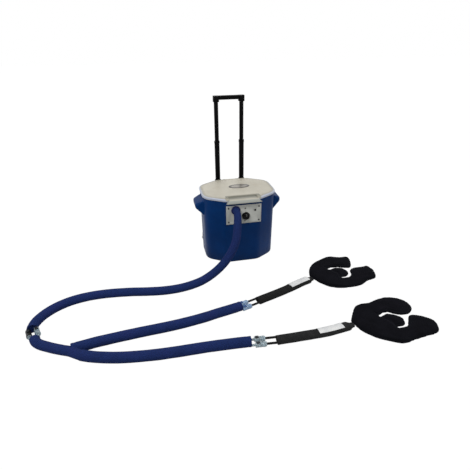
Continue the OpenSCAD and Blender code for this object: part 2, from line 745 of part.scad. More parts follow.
module supply_tube() {
    color([0.80, 0.86, 0.90])
        sweep(supply_route, round_sizes(supply_route, water_tube_d), [0, 0, 1], [0, -1, 0], 10, [1, 0, 0]);
}
module return_tube() {
    color([0.80, 0.86, 0.90])
        sweep(return_route, round_sizes(return_route, water_tube_d), [0, 1, 0], [0, 0, -1], 10, [1, 0, 0]);
}
module pump_lead() {
    color([0.08, 0.08, 0.09])
        sweep(lead_route, round_sizes(lead_route, lead_d), [0, 1, 0], [0, -1, 0], 8, [1, 0, 0]);
}

// ---- pull handle ----

pole_mid_x = -0.5;
poles = [pole_mid_x - pole_span / 2, pole_mid_x + pole_span / 2];
pole_y = half_d + pole_gap;
outer_r = outer_tube_d / 2;
middle_r = middle_tube_d / 2;
inner_r = inner_tube_d / 2;
outer_bore_r = outer_r - tube_t - 0.1;
middle_bore_r = middle_r - tube_t;
outer_low = 70;
outer_high = body_h - 8;
guide_l = 52;
middle_low = outer_high - guide_l;
inner_overlap = 41;
inner_low = stage_joint_z - inner_overlap;
collar_r = outer_r + 1.5;
collar_high = body_h + 4;
stage_collar_h = 12;
cup_low = outer_low - 8;
cup_high = outer_low + 20;
pole_seat = 0.05;

module at_poles() { for (x = poles) translate([x, pole_y, 0]) children(); }
module pipe(low, high, r, bore) {
    translate([0, 0, low]) difference() {
        cylinder(h = high - low, r = r, $fn = round_fn);
        translate([0, 0, -1]) cylinder(h = high - low + 2, r = bore, $fn = round_fn);
    }
}
module outer_tubes() { color([0.10, 0.10, 0.11]) at_poles() pipe(outer_low, outer_high, outer_r,
    outer_bore_r); }
module middle_tubes() {
    color([0.07, 0.07, 0.075]) at_poles() pipe(middle_low, stage_joint_z + 4, middle_r, middle_bore_r);
}
module inner_tubes() {
    color([0.07, 0.07, 0.075]) at_poles() pipe(inner_low, handle_top - 13, inner_r, inner_r - tube_t);
}
module middle_collars() {
    color([0.04, 0.04, 0.045]) at_poles() difference() {
        pipe(stage_joint_z, stage_joint_z + stage_collar_h, middle_r + 1.2, inner_r + slide_fit);
        rod_z(0, 0, stage_joint_z - 1, stage_joint_z + 4, middle_r + 0.03);
    }
}
// A guide bush under the end of a sliding tube, with a spigot up inside it.
module guide_bush(low, r_out, r_in, h) {
    difference() {
        union() {
            rod_z(0, 0, low - h, low, r_out);
            rod_z(0, 0, low, low + 7, r_in);
        }
        rod_z(0, 0, low - h - 1, low + 8, r_in - 3);
    }
}
module middle_bushes() {
    color([0.75, 0.75, 0.72]) at_poles() guide_bush(middle_low, outer_bore_r - slide_fit,
        middle_bore_r - 0.05, 10);
}
module inner_bushes() {
    color([0.75, 0.75, 0.72]) at_poles() guide_bush(inner_low, middle_bore_r - slide_fit,
        inner_r - tube_t - 0.05, 10);
}

module pole_bracket(low, high, front_y, collar_z) {
    wide = 2 * collar_r;
    difference() {
        union() {
            box([poles[0] - collar_r, front_y, low], [poles[1] + collar_r, front_y + 4, high]);
            for (x = poles) box([x - 7, front_y, low], [x + 7, pole_y, high]);
            at_poles() rod_z(0, 0, low, collar_z, wide / 2);
        }
        children();
    }
}
bracket_h = 22;
bracket_drop = 24;
module upper_bracket() {
    high = body_h - bracket_drop;
    low = high - bracket_h;
    color([0.06, 0.06, 0.065]) pole_bracket(low, high, half_d + bracket_gap, collar_high) at_poles() {
        rod_z(0, 0, low - 4, outer_high, outer_r + pole_seat);
        rod_z(0, 0, low - 4, collar_high + 1, middle_r + slide_fit);
    }
}
module lower_bracket() {
    front_y = half_d - body_taper * (1 - cup_high / body_h) + bracket_gap;
    color([0.06, 0.06, 0.065]) pole_bracket(cup_low, cup_high, front_y, cup_high)
        at_poles() rod_z(0, 0, outer_low, cup_high + 1, outer_r + pole_seat);
}

grip_round = 5;
module soft_block(low, high, r) {
    hull() for (x = [low[0] + r, high[0] - r]) for (y = [low[1] + r, high[1] - r])
        translate([x, y, low[2]]) cylinder(h = high[2] - low[2], r = r, $fn = hull_fn);
}
grip_ends = [pole_mid_x - grip_w / 2, pole_mid_x + grip_w / 2];
core_low = handle_top - grip_bar_h + 3;
core_high = handle_top - 3;
core_half = grip_depth / 2 - 4;
module handle_grip() {
    color([0.03, 0.03, 0.032]) difference() {
        union() {
            for (side = [0, 1]) {
                inner_x = poles[side] + (side == 0 ? 1 : -1) * (inner_r + 4);
                soft_block([min(grip_ends[side], inner_x), pole_y - grip_depth / 2,
                    handle_top - grip_block_h],
                    [max(grip_ends[side], inner_x), pole_y + grip_depth / 2, handle_top], grip_round);
            }
            box([poles[0], pole_y - core_half, core_low], [poles[1], pole_y + core_half, core_high]);
        }
        at_poles() rod_z(0, 0, handle_top - grip_block_h - 1, handle_top - 13, inner_r + 0.03);
    }
}
module grip_pad() {
    low_x = poles[0] + inner_r + 4.3;
    high_x = poles[1] - inner_r - 4.3;
    mid_z = handle_top - grip_bar_h / 2;
    color([0.05, 0.05, 0.05]) difference() {
        hull() for (y = [-1, 1]) for (z = [-1, 1])
            along_x(low_x, pole_y + y * (grip_depth / 2 - grip_round),
                mid_z + z * (grip_bar_h / 2 - grip_round))
                cylinder(h = high_x - low_x, r = grip_round, $fn = hull_fn);
        box([low_x - 1, pole_y - core_half - 0.1, core_low - 0.1], [high_x + 1, pole_y + core_half + 0.1,
            core_high + 0.1]);
    }
}

// ---- wheels ----

wheel_in_x = well_x + 3;
wheel_r = wheel_d / 2;
wheel_fit = 0.08;
cap_t = 3;
module wheel(side) {
    hub_r = axle_d / 2 + 5;
    color([0.05, 0.05, 0.055]) scale([side, 1, 1]) along_x(wheel_in_x, axle_y, axle_z) difference() {
        rotate_extrude($fn = 96) polygon([
            [axle_d / 2 + wheel_fit, 0], [hub_r, 0], [hub_r, 5], [wheel_r - 9, 5], [wheel_r - 8, 1],
                [wheel_r - 2, 1],
            [wheel_r, 4], [wheel_r, wheel_w - 4], [wheel_r - 2, wheel_w - 1], [wheel_r - 8, wheel_w - 1],
            [wheel_r - 9, wheel_w - 5], [hub_r, wheel_w - 5], [hub_r, wheel_w], [axle_d / 2 + wheel_fit,
                wheel_w]]);
        for (i = [0:5]) rotate([0, 0, 60 * i]) translate([(hub_r + wheel_r - 9) / 2, 0, -1])
            cylinder(h = wheel_w + 2, r = 4, $fn = 32);
    }
}
module left_wheel() { wheel(-1); }
module right_wheel() { wheel(1); }
axle_end_x = wheel_in_x + wheel_w + 1 + cap_t;
module axle() {
    color([0.62, 0.62, 0.64]) along_x(-axle_end_x, axle_y, axle_z)
        cylinder(h = 2 * axle_end_x, r = axle_d / 2, $fn = round_fn);
}
module axle_caps() {
    color([0.5, 0.5, 0.52]) for (side = [-1, 1]) scale([side, 1, 1])
        along_x(axle_end_x - cap_t, axle_y, axle_z) difference() {
            cylinder(h = cap_t + 1.5, r = axle_d / 2 + 2.5, $fn = round_fn);
            translate([0, 0, -1]) cylinder(h = cap_t + 1, r = axle_d / 2 + 0.02, $fn = round_fn);
        }
}

// ---- hoses: each route is a list of hand-placed points along the middle of the sleeve ----

main_route = [[-38, -154.6, 300], [-38, -180, 299], [-41, -205, 291], [-46, -229, 273], [-53, -251, 244],
    [-62, -271, 207], [-78, -287, 171], [-101, -299, 138], [-128, -307, 106], [-160, -313, 77], [-199,
        -318, 50],
    [-243, -323, 29], [-288, -332, 20.5], [-335, -345, 20.5], [-385, -351, 20.5], [-445, -349, 20.5],
    [-505, -340, 20.5], [-565, -329, 20.5], [-625, -321, 20.5], [-685, -317, 20.5], [-745, -319, 20.5],
    [-800, -329, 20.5], [-850, -348, 20.5], [-890, -374, 20.5], [-922, -406, 20.5], [-944, -440, 20.5],
    [-955, -470, 20.5], [-958, -500, 20.5]];
trunk_route = [[-935, -564, 20.5], [-925, -585, 20.5], [-905, -604, 20.5], [-878, -621, 20.5], [-850, -637,
    20.5],
    [-818, -653, 20.5], [-786, -668, 20.5]];
rear_route = [[-745, -647, 21.5], [-700, -638, 21.5], [-650, -631, 21.5], [-600, -625, 21.5], [-550, -620,
    21.5],
    [-500, -615, 21.5], [-450, -611, 21.5], [-400, -606, 21.5], [-350, -599, 21.5], [-300, -590, 21.5],
    [-250, -579, 21.5], [-200, -566, 21.5], [-152, -555, 21.5], [-105, -543, 21.5]];
front_route = [[-745, -697, 21.5], [-700, -716, 21.5], [-650, -731, 21.5], [-600, -742, 21.5], [-550, -749,
    21.5],
    [-500, -754, 21.5], [-450, -757, 21.5], [-400, -758, 21.5], [-350, -758, 21.5], [-300, -758, 21.5],
    [-250, -759, 21.5], [-200, -761, 21.5], [-155, -763, 21.5], [-116, -766, 21.5]];
rear_pad_route = [[-18, -513, 13], [20, -499, 13], [60, -485, 13], [100, -471, 13], [140, -455, 13], [180,
    -438, 13],
    [220, -421, 13], [255, -407, 12], [286, -394, 9]];
front_pad_route = [[-14, -772, 13], [30, -772, 13], [75, -772, 13], [120, -772, 13], [165, -771, 13],
    [205, -769, 13], [245, -764, 13], [285, -757, 12], [320, -750, 9]];

function flat_dir(a) = [cos(a), sin(a), 0];
main_angle = -70;
trunk_end_angle = -25;
rear_start_angle = 11;
front_start_angle = -24;
rear_angle = 19;
front_angle = -4;
rear_neck_angle = 24;
front_neck_angle = 12;

module hose(route, d, start, end) { sweep(route, round_sizes(route, d), start, end, 12); }
module main_hose() { color([0.11, 0.13, 0.35]) hose(main_route, hose_d, [0, -1, 0], flat_dir(main_angle)); }
module trunk_hose() {
    color([0.11, 0.13, 0.35]) hose(trunk_route, hose_d, flat_dir(main_angle), flat_dir(trunk_end_angle));
}
module rear_branch_hose() {
    color([0.11, 0.14, 0.38]) hose(rear_route, branch_d, flat_dir(rear_start_angle), flat_dir(rear_angle));
}
module front_branch_hose() {
    color([0.11, 0.14, 0.38]) hose(front_route, branch_d, flat_dir(front_start_angle),
        flat_dir(front_angle));
}
module hose_end_disc(at, angle, d, back) {
    translate(at) rotate([0, 0, angle]) translate([back ? -2 : 0, 0, 0]) rotate([0, 90, 0])
        cylinder(h = 2, r = d / 2, $fn = hull_fn);
}
module y_splitter() {
    trunk_end = trunk_route[len(trunk_route) - 1];
    color([0.10, 0.12, 0.33]) union() {
        hull() {
            hose_end_disc(trunk_end, trunk_end_angle, hose_d - 1, false);
            hose_end_disc(rear_route[0], rear_start_angle, branch_d - 1, true);
        }
        hull() {
            hose_end_disc(trunk_end, trunk_end_angle, hose_d - 1, false);
            hose_end_disc(front_route[0], front_start_angle, branch_d - 1, true);
        }
    }
}

// ---- quick couplings, drawn along +X from the face of the hose they end ----

coupling_r = coupling_d / 2;
nose_r = nose_d / 2;
nose_l = 19;
nose_fit = 0.05;
flange_l = 5;
latch_at = 3;
latch_l = 14;
latch_w = 11;
latch_low = 7.5;
latch_high = 13;
latch_side_gap = 0.2;
coupling_z = 16;
main_stub = 2;
rear_stub = 2;
front_stub = 15;
main_plug_tail = 23;

module place_pair(route_end, angle) {
    translate([route_end[0], route_end[1], coupling_z]) rotate([0, 0, angle]) children();
}
module each_side() { for (side = [-1, 1]) translate([0, side * pair_span / 2, 0]) children(); }
module rod_x(x_from, x_to, r) { along_x(x_from, 0, 0) cylinder(h = x_to - x_from, r = r, $fn = 48); }
module coupling_body(stub) {
    difference() {
        union() {
            rod_x(0, stub + 1, tube_r);
            rod_x(stub, stub + coupling_l, coupling_r);
            rod_x(stub + coupling_l - 6, stub + coupling_l, coupling_r + 0.8);
        }
        rod_x(stub + coupling_l - nose_l - 1, stub + coupling_l + 1, nose_r + nose_fit);
        rod_x(-1, stub + coupling_l, tube_r - 1.6);
        box([stub + latch_at - latch_side_gap, -latch_w / 2 - latch_side_gap,
            latch_low - latch_travel - 0.2],
            [stub + latch_at + latch_l + latch_side_gap, latch_w / 2 + latch_side_gap, coupling_r + 2]);
    }
}
module plug_body(stub, tail) {
    end = stub + coupling_l;
    difference() {
        union() {
            rod_x(end - nose_l, end, nose_r);
            rod_x(end, end + flange_l, coupling_r - 1);
            rod_x(end + flange_l - 1, end + flange_l + tail, tube_r);
        }
        rod_x(end - nose_l - 1, end + flange_l + tail + 1, tube_r - 1.6);
        translate([end - nose_l + 5, 0, 0]) rotate([0, 90, 0]) rotate_extrude($fn = 48)
            translate([nose_r - 1, 0]) square([2, 2.5]);
    }
}
module latch_button(stub) {
    color([0.07, 0.10, 0.12]) difference() {
        box([stub + latch_at, -latch_w / 2, latch_low], [stub + latch_at + latch_l, latch_w / 2,
            latch_high]);
        for (i = [0:2]) box([stub + latch_at + 3 + i * 3.2, -latch_w, latch_high - 0.8],
            [stub + latch_at + 4.4 + i * 3.2, latch_w, latch_high + 1]);
    }
}
module latch(route_end, angle, stub, side) {
    place_pair(route_end, angle) translate([0, side * pair_span / 2, 0]) latch_button(stub);
}

main_end = main_route[len(main_route) - 1];
rear_end = rear_route[len(rear_route) - 1];
front_end = front_route[len(front_route) - 1];
module main_couplings() { color([0.55, 0.62, 0.66]) place_pair(main_end,
    main_angle) each_side() coupling_body(main_stub); }
module rear_couplings() { color([0.60, 0.70, 0.82]) place_pair(rear_end,
    rear_angle) each_side() coupling_body(rear_stub); }
module front_couplings() { color([0.55, 0.64, 0.68]) place_pair(front_end,
    front_angle) each_side() coupling_body(front_stub); }
module main_plugs() {
    color([0.45, 0.50, 0.52]) place_pair(main_end, main_angle) each_side() plug_body(main_stub,
        main_plug_tail);
}
module rear_plugs() { color([0.60, 0.70, 0.82]) place_pair(rear_end,
    rear_angle) each_side() plug_body(rear_stub, 0); }
module front_plugs() { color([0.55, 0.64, 0.68]) place_pair(front_end,
    front_angle) each_side() plug_body(front_stub, 0); }
module main_latch_inner() { latch(main_end, main_angle, main_stub, 1); }
module main_latch_outer() { latch(main_end, main_angle, main_stub, -1); }
module rear_latch_far() { latch(rear_end, rear_angle, rear_stub, 1); }
module rear_latch_near() { latch(rear_end, rear_angle, rear_stub, -1); }
module front_latch_far() { latch(front_end, front_angle, front_stub, 1); }
module front_latch_near() { latch(front_end, front_angle, front_stub, -1); }

// ---- pad hoses and wrap pads ----

neck_half_w = 13;
neck_half_h = 8;
function pad_sleeve_sizes(n) =
    [for (i = [0:n - 1]) i == n - 1 ? [neck_half_w, neck_half_h] :
        i == n - 2 ? [(pad_sleeve_w / 2 + neck_half_w) / 2, (pad_sleeve_h / 2 + neck_half_h) / 2] :
        [pad_sleeve_w / 2, pad_sleeve_h / 2]];
module pad_hose(route, route_end, angle, stub, neck_angle) {
    start = stub + coupling_l + flange_l;
    reach = norm([route[0][0] - route_end[0], route[0][1] - route_end[1]]);
    color([0.05, 0.05, 0.05]) {
        sweep(route, pad_sleeve_sizes(len(route)), flat_dir(angle), flat_dir(neck_angle), 12);
        place_pair(route_end, angle) each_side() difference() {
            rod_x(start, reach - 0.1, tube_r);
            rod_x(start - 1, reach - 2, tube_r - 1.6);
        }
    }
}
module rear_pad_hose() { pad_hose(rear_pad_route, rear_end, rear_angle, rear_stub, rear_neck_angle); }
module front_pad_hose() { pad_hose(front_pad_route, front_end, front_angle, front_stub, front_neck_angle); }

rear_pad_outline = [[295.2, -414], [291.6, -405.8], [286.3, -393.9], [281, -382], [277.4, -373.8], [288,
    -336],
    [308, -295], [345, -255], [395, -228], [450, -208],
    [505, -226], [545, -230], [550, -262], [538, -305], [518, -334], [482, -327], [440, -316], [402, -325],
    [406, -335], [440, -327], [474, -338], [487, -362], [483, -390], [462, -410], [434, -412], [434, -421],
    [466, -420], [492, -398], [508, -365], [535, -350], [580, -350], [610, -348], [622, -385], [612, -432],
    [590, -462], [545, -474], [500, -499], [450, -506], [395, -500], [345, -480], [308, -442]];
front_pad_outline = [[325, -771.4], [323.1, -762.6], [320.4, -749.9], [317.7, -737.2], [315.8, -728.4],
    [330, -704], [352, -672], [380, -638], [415, -624], [460, -622],
    [505, -608], [556, -603], [602, -622], [626, -655], [624, -698], [600, -725], [570, -733], [532, -722],
    [500, -704], [456, -718], [458, -727], [494, -714], [524, -728], [544, -752], [540, -782], [522, -799],
    [494, -799], [494, -808], [530, -806], [556, -784], [588, -748], [635, -768], [664, -806], [652, -850],
    [625, -874], [570, -882], [515, -890], [462, -898], [410, -872], [365, -838], [335, -798]];
module pad(outline) { translate([0, 0, seat_gap]) linear_extrude(pad_t) polygon(closed_curve(outline, 2)); }
module rear_pad() { color([0.06, 0.06, 0.07]) pad(rear_pad_outline); }
module front_pad() { color([0.06, 0.06, 0.07]) pad(front_pad_outline); }

cooler_shell();
foam_insulation();
cooler_liner();
hinge_bracket();
hinge_pin();
control_panel();
panel_screws();
hose_gland();
gland_nut();
flow_control();
control_board();
indicator_lamp();
power_jack();
pump_housing();
pump_cover();
supply_tube();
return_tube();
pump_lead();
outer_tubes();
upper_bracket();
lower_bracket();
axle();
axle_caps();
main_hose();
main_couplings();
lid_shell();
lid_liner();
lid_foam();
lid_badge();
control_knob();
control_shaft();
middle_tubes();
middle_collars();
middle_bushes();
inner_tubes();
inner_bushes();
handle_grip();
grip_pad();
left_wheel();
right_wheel();
pump_impeller();
main_plugs();
trunk_hose();
y_splitter();
rear_branch_hose();
front_branch_hose();
rear_couplings();
front_couplings();
rear_plugs();
front_plugs();
rear_pad_hose();
front_pad_hose();
rear_pad();
front_pad();
main_latch_inner();
main_latch_outer();
rear_latch_far();
rear_latch_near();
front_latch_far();
front_latch_near();
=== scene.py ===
import json
import math

import bpy
from mathutils import Matrix, Vector, kdtree, noise

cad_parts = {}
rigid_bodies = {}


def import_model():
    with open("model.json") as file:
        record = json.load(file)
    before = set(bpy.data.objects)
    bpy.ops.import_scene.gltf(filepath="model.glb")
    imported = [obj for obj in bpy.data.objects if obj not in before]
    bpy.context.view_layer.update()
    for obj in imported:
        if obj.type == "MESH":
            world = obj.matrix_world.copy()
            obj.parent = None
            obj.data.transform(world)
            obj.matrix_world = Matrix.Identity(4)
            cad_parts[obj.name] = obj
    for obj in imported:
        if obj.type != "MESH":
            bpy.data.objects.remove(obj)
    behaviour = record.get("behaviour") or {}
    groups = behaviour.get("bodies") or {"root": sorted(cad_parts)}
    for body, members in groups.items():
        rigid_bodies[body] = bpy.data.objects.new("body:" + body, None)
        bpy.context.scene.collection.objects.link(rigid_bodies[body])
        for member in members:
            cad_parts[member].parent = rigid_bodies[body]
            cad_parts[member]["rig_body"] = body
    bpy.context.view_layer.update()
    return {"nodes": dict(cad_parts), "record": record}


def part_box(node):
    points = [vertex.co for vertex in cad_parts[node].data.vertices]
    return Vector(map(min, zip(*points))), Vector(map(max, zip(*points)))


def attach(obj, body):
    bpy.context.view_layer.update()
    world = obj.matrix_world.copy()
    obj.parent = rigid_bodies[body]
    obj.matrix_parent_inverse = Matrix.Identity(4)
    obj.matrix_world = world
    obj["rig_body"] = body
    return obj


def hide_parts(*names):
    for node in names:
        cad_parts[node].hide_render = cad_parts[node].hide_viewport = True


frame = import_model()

MM = 0.001
nodes = frame["nodes"]

# ---------------------------------------------------------------- camera

CAMERA_AT = Vector((-0.4194, -1.8842, 1.0796))
CAMERA_DOWN = math.radians(27.3)
CAMERA_RIGHT = math.radians(12.26)
CAMERA_ROLL = math.radians(-0.38)
LENS = 30.17


def add_camera():
    """The photographer's viewpoint: in front, a little to the left, looking down."""
    ahead = Vector((
        math.sin(CAMERA_RIGHT) * math.cos(CAMERA_DOWN),
        math.cos(CAMERA_RIGHT) * math.cos(CAMERA_DOWN),
        -math.sin(CAMERA_DOWN),
    ))
    right = Vector((math.cos(CAMERA_RIGHT), -math.sin(CAMERA_RIGHT), 0))
    up = right.cross(ahead)
    rolled_right = right * math.cos(CAMERA_ROLL) + up * math.sin(CAMERA_ROLL)
    rolled_up = up * math.cos(CAMERA_ROLL) - right * math.sin(CAMERA_ROLL)
    data = bpy.data.cameras.new("camera")
    data.sensor_width = 36
    data.lens = LENS
    data.clip_end = 60
    camera = bpy.data.objects.new("camera", data)
    bpy.context.scene.collection.objects.link(camera)
    turn = Matrix((rolled_right, rolled_up, -ahead)).transposed().to_4x4()
    camera.matrix_world = Matrix.Translation(CAMERA_AT) @ turn
    bpy.context.scene.camera = camera


# ---------------------------------------------------------------- numbers and colours


def eased(t):
    """0 below 0, 1 above 1 and a smooth rise between."""
    t = min(1, max(0, t))
    return t * t * (3 - 2 * t)


def srgb(r, g, b):
    """A colour as it is seen on a screen, 0 to 255, as the linear numbers that a shader takes."""
    return tuple((c / 255 / 12.92) if c <= 10 else ((c / 255 + 0.055) / 1.055) ** 2.4 for c in (r, g, b))


# ---------------------------------------------------------------- materials


class Value:
    """A number that varies over a surface; plain arithmetic on it adds the nodes that work it out."""

    def __init__(self, look, socket):
        self.look = look
        self.socket = socket

    def by(self, operation, *others):
        return self.look.add("ShaderNodeMath", {"operation": operation}, dict(enumerate([self, *others])))

    def __add__(self, other):
        return self.by("ADD", other)

    __radd__ = __add__

    def __sub__(self, other):
        return self.by("SUBTRACT", other)

    def __rsub__(self, other):
        return self * -1 + other

    def __mul__(self, other):
        return self.by("MULTIPLY", other)

    __rmul__ = __mul__

    def __truediv__(self, other):
        return self.by("DIVIDE", other)

    def __pow__(self, other):
        return self.by("POWER", other)

    def __gt__(self, other):
        return self.by("GREATER_THAN", other)

    def __lt__(self, other):
        return self.by("LESS_THAN", other)

    def __abs__(self):
        return self.by("ABSOLUTE")

    def root(self):
        return self.by("SQRT")

    def sine(self):
        return self.by("SINE")

    def soft(self, low, high):
        """0 below low, 1 above high and a smooth rise between."""
        return self.look.add("ShaderNodeMapRange", {"interpolation_type": "SMOOTHSTEP"},
                             {"Value": self, "From Min": low, "From Max": high})


class Look:
    """One material. What is the same all over sits on the shader's own sockets."""

    def __init__(self, name, **plain):
        self.material = bpy.data.materials.new(name)
        self.material.use_nodes = True
        self.tree = self.material.node_tree
        self.shader = self.tree.nodes["Principled BSDF"]
        for socket, value in plain.items():
            self.shader.inputs[socket.replace("_", " ")].default_value = value

    def feed(self, socket, value):
        if isinstance(value, Value):
            self.tree.links.new(value.socket, socket)
        elif socket.type == "RGBA" and len(value) == 3:
            socket.default_value = (*value, 1)
        else:
            socket.default_value = value

    def add(self, kind, settings=None, inputs=None, out=0):
        """A node of that kind, its settings made first, then its sockets; returns one output."""
        node = self.tree.nodes.new(kind)
        for name, value in (settings or {}).items():
            setattr(node, name, value)
        for name, value in (inputs or {}).items():
            self.feed(node.inputs[name], value)
        return Value(self, node.outputs[out])

    def place(self, kind="Object"):
        """The x, y and z of a point of the piece."""
        at = self.add("ShaderNodeTexCoord", out=kind)
        return [self.add("ShaderNodeSeparateXYZ", inputs={0: at}, out=axis) for axis in range(3)]

    def grain(self, scale, detail=2.0, kind="Object", stretch=(1, 1, 1)):
        """Soft random cloudiness, so many lumps to the metre."""
        at = self.add("ShaderNodeTexCoord", out=kind)
        at = self.add("ShaderNodeMapping", inputs={"Vector": at, "Scale": stretch})
        return self.add("ShaderNodeTexNoise", inputs={"Vector": at, "Scale": scale, "Detail": detail})

    def cells(self, scale):
        """Distance to the middle of the nearest of so many cells to the metre."""
        at = self.add("ShaderNodeTexCoord", out="Object")
        return self.add("ShaderNodeTexVoronoi", inputs={"Vector": at, "Scale": scale})

    def attribute(self, name):
        return self.add("ShaderNodeAttribute", {"attribute_name": name}, out=2)

    def blend(self, factor, first, second):
        """Colour first where factor is 0, and second where it is 1."""
        return self.add("ShaderNodeMix", {"data_type": "RGBA"}, {0: factor, 6: first, 7: second}, out=2)

    def colour(self, value):
        self.feed(self.shader.inputs["Base Color"], value)
        return self

    def rough(self, value):
        self.feed(self.shader.inputs["Roughness"], value)
        return self

    def relief(self, height, depth):
        """Bumps so many metres deep."""
        bump = self.add("ShaderNodeBump", inputs={"Height": height, "Distance": depth, "Strength": 1.0})
        self.feed(self.shader.inputs["Normal"], bump)
        return self


def moulded(name, colour, darker, roughness=0.45, pebble=2600, depth=0.00006, gloss=0.3):
    """Moulded plastic: fine pebble, cloudy colour and slightly uneven gloss."""
    look = Look(name, Specular_IOR_Level=gloss)
    clouds = look.grain(14, 4)
    look.colour(look.blend(clouds.soft(0.35, 0.7), colour, darker))
    look.rough(look.grain(55, 3) * 0.16 + (roughness - 0.08))
    look.relief(look.grain(pebble, 1), depth)
    return look


def cooler_blue():
    look = Look("cooler_blue", Specular_IOR_Level=0.09)
    x, y, z = look.place()
    clouds = look.grain(9, 4).soft(0.3, 0.72)
    body = look.blend(clouds, srgb(0, 43, 94), srgb(1, 51, 108))
    # painted shade: the shell's colour darkens over its lowest 6 cm, towards the floor
    low = 1 - z.soft(0.0, 0.06)
    bottom_shaded = look.blend(low * 0.35, body, srgb(3, 26, 56))
    scuffs = look.grain(160, 5, stretch=(1, 1, 7)).soft(0.66, 0.78)
    look.colour(look.blend(scuffs * 0.22, bottom_shaded, srgb(60, 84, 125)))
    look.rough(look.grain(40, 3) * 0.18 + 0.36)
    return look.relief(look.grain(1500, 1), 0.00008)


FLAP_MID_X, FLAP_HALF_W = 0.003, 0.089
FLAP_SIDE_FROM, FLAP_BACK_Y, FLAP_FOOT_Z = 0.080, -0.105, 0.3385
FLAP_NARROWS_BY, FLAP_NARROWS_FROM, FLAP_NARROWS_OVER = 0.013, 0.340, 0.012
DIP_FRONT_Y, DIP_BELOW_Z = -0.1510, 0.3597
LID_TOP = 0.360
LID_GRID = 0.015
CROWN_W, CROWN_DROP, CROWN_FOOT = 0.020, 0.0018, 0.3545


def top_faces(piece):
    return [f for f in piece.data.polygons if f.normal.z > 0.99 and f.center.z > LID_TOP - 0.0002]


def shape_lid(piece):
    """Narrows the flap above its foot, cuts the flat top into a grid, and rounds the top down along its edge.
    The attribute from_edge holds how far each point of the top lies from its edge."""
    for vertex in piece.data.vertices:
        vertex.co = narrowed_flap(vertex.co)
    low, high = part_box("lid_shell")
    for axis, first, last in ((0, low.x, high.x), (1, low.y, high.y)):
        for step in range(1, int((last - first) / LID_GRID) + 1):
            normal = Vector((axis == 0, axis == 1, 0))
            cut_top(piece, normal * (first + step * LID_GRID), normal)
    top = top_faces(piece)
    uses = {}
    for face in top:
        for edge in face.edge_keys:
            uses[edge] = uses.get(edge, 0) + 1
    points = [vertex.co.copy() for vertex in piece.data.vertices]
    border = [(points[i], points[k]) for (i, k), count in uses.items() if count == 1]
    away = piece.data.attributes.new("from_edge", "FLOAT", "POINT")
    for i in {i for face in top for i in face.vertices}:
        away.data[i].value = min(distance_to(points[i], a, b) for a, b in border)
    for vertex, item in zip(piece.data.vertices, away.data):
        share = max(0, 1 - item.value / CROWN_W) ** 2
        height = max(0, vertex.co.z - CROWN_FOOT) / (LID_TOP - CROWN_FOOT)
        vertex.co.z -= CROWN_DROP * share * height


def cut_top(piece, at, normal):
    choose(piece)
    bpy.ops.object.mode_set(mode="EDIT")
    bpy.ops.mesh.select_mode(type="FACE")
    bpy.ops.mesh.select_all(action="DESELECT")
    bpy.ops.object.mode_set(mode="OBJECT")
    for face in top_faces(piece):
        face.select = True
    bpy.ops.object.mode_set(mode="EDIT")
    bpy.ops.mesh.bisect(plane_co=at, plane_no=normal)
    bpy.ops.object.mode_set(mode="OBJECT")


def distance_to(point, a, b):
    """From a point to the line between a and b."""
    t = (point - a).dot(b - a) / max((b - a).length_squared, 1e-12)
    return (point - a.lerp(b, min(1, max(0, t)))).length


def narrowed_flap(point):
    """The pull flap and the dip above it are narrower than the flap's foot."""
    x, y, z = point
    across = abs(x - FLAP_MID_X)
    if FLAP_SIDE_FROM < across < FLAP_HALF_W + 0.0005 and y < FLAP_BACK_Y and z > FLAP_FOOT_Z:
        across -= FLAP_NARROWS_BY * eased((z - FLAP_NARROWS_FROM) / FLAP_NARROWS_OVER)
        x = FLAP_MID_X + math.copysign(across, x - FLAP_MID_X)
    return Vector((x, y, z))


def lid_beige():
    look = Look("lid_beige", Specular_IOR_Level=0.4)
    x, y, z = look.place()
    clouds = look.grain(7, 5).soft(0.3, 0.7)
    base = look.blend(clouds, srgb(202, 196, 180), srgb(188, 182, 166))
    stains = look.grain(24, 6).soft(0.58, 0.72)
    base = look.blend(stains * 0.3, base, srgb(176, 164, 142))
    beside_flap = abs(x - FLAP_MID_X) > FLAP_HALF_W + 0.001
    # painted shade: the flap's front face is greyed, darker than the lit top of the lid
    flap_front_shade = (1 - y.soft(-0.160, -0.150)) * (1 - beside_flap)
    base = look.blend(flap_front_shade * 0.85, base, srgb(160, 164, 158))
    # painted shade: the finger dip darkens towards its back wall
    dip_shade = (1 - beside_flap) * (z < DIP_BELOW_Z) * (y > DIP_FRONT_Y) * (y < FLAP_BACK_Y)
    base = look.blend(dip_shade * y.soft(-0.158, -0.118) * 0.85, base, srgb(100, 101, 92))
    # painted shade: a darker band along the top's rounded edge, darkest at the edge itself
    edge = (1 - look.attribute("from_edge").soft(0.0, 0.017)) * (z > 0.3575)
    base = look.blend(edge * 0.6, base, srgb(138, 134, 116))
    skirt = (1 - z.soft(0.3570, 0.3590)) * beside_flap
    look.colour(look.blend(skirt * 0.9, base, srgb(196, 203, 222)))
    look.rough(look.grain(60, 3) * 0.2 + 0.38)
    return look.relief(look.grain(1900, 2), 0.00009)


MARK_X, MARK_LOW_Z, MARK_HIGH_Z, MARK_SLOPE = 0.0085, 0.2335, 0.2405, 1.6


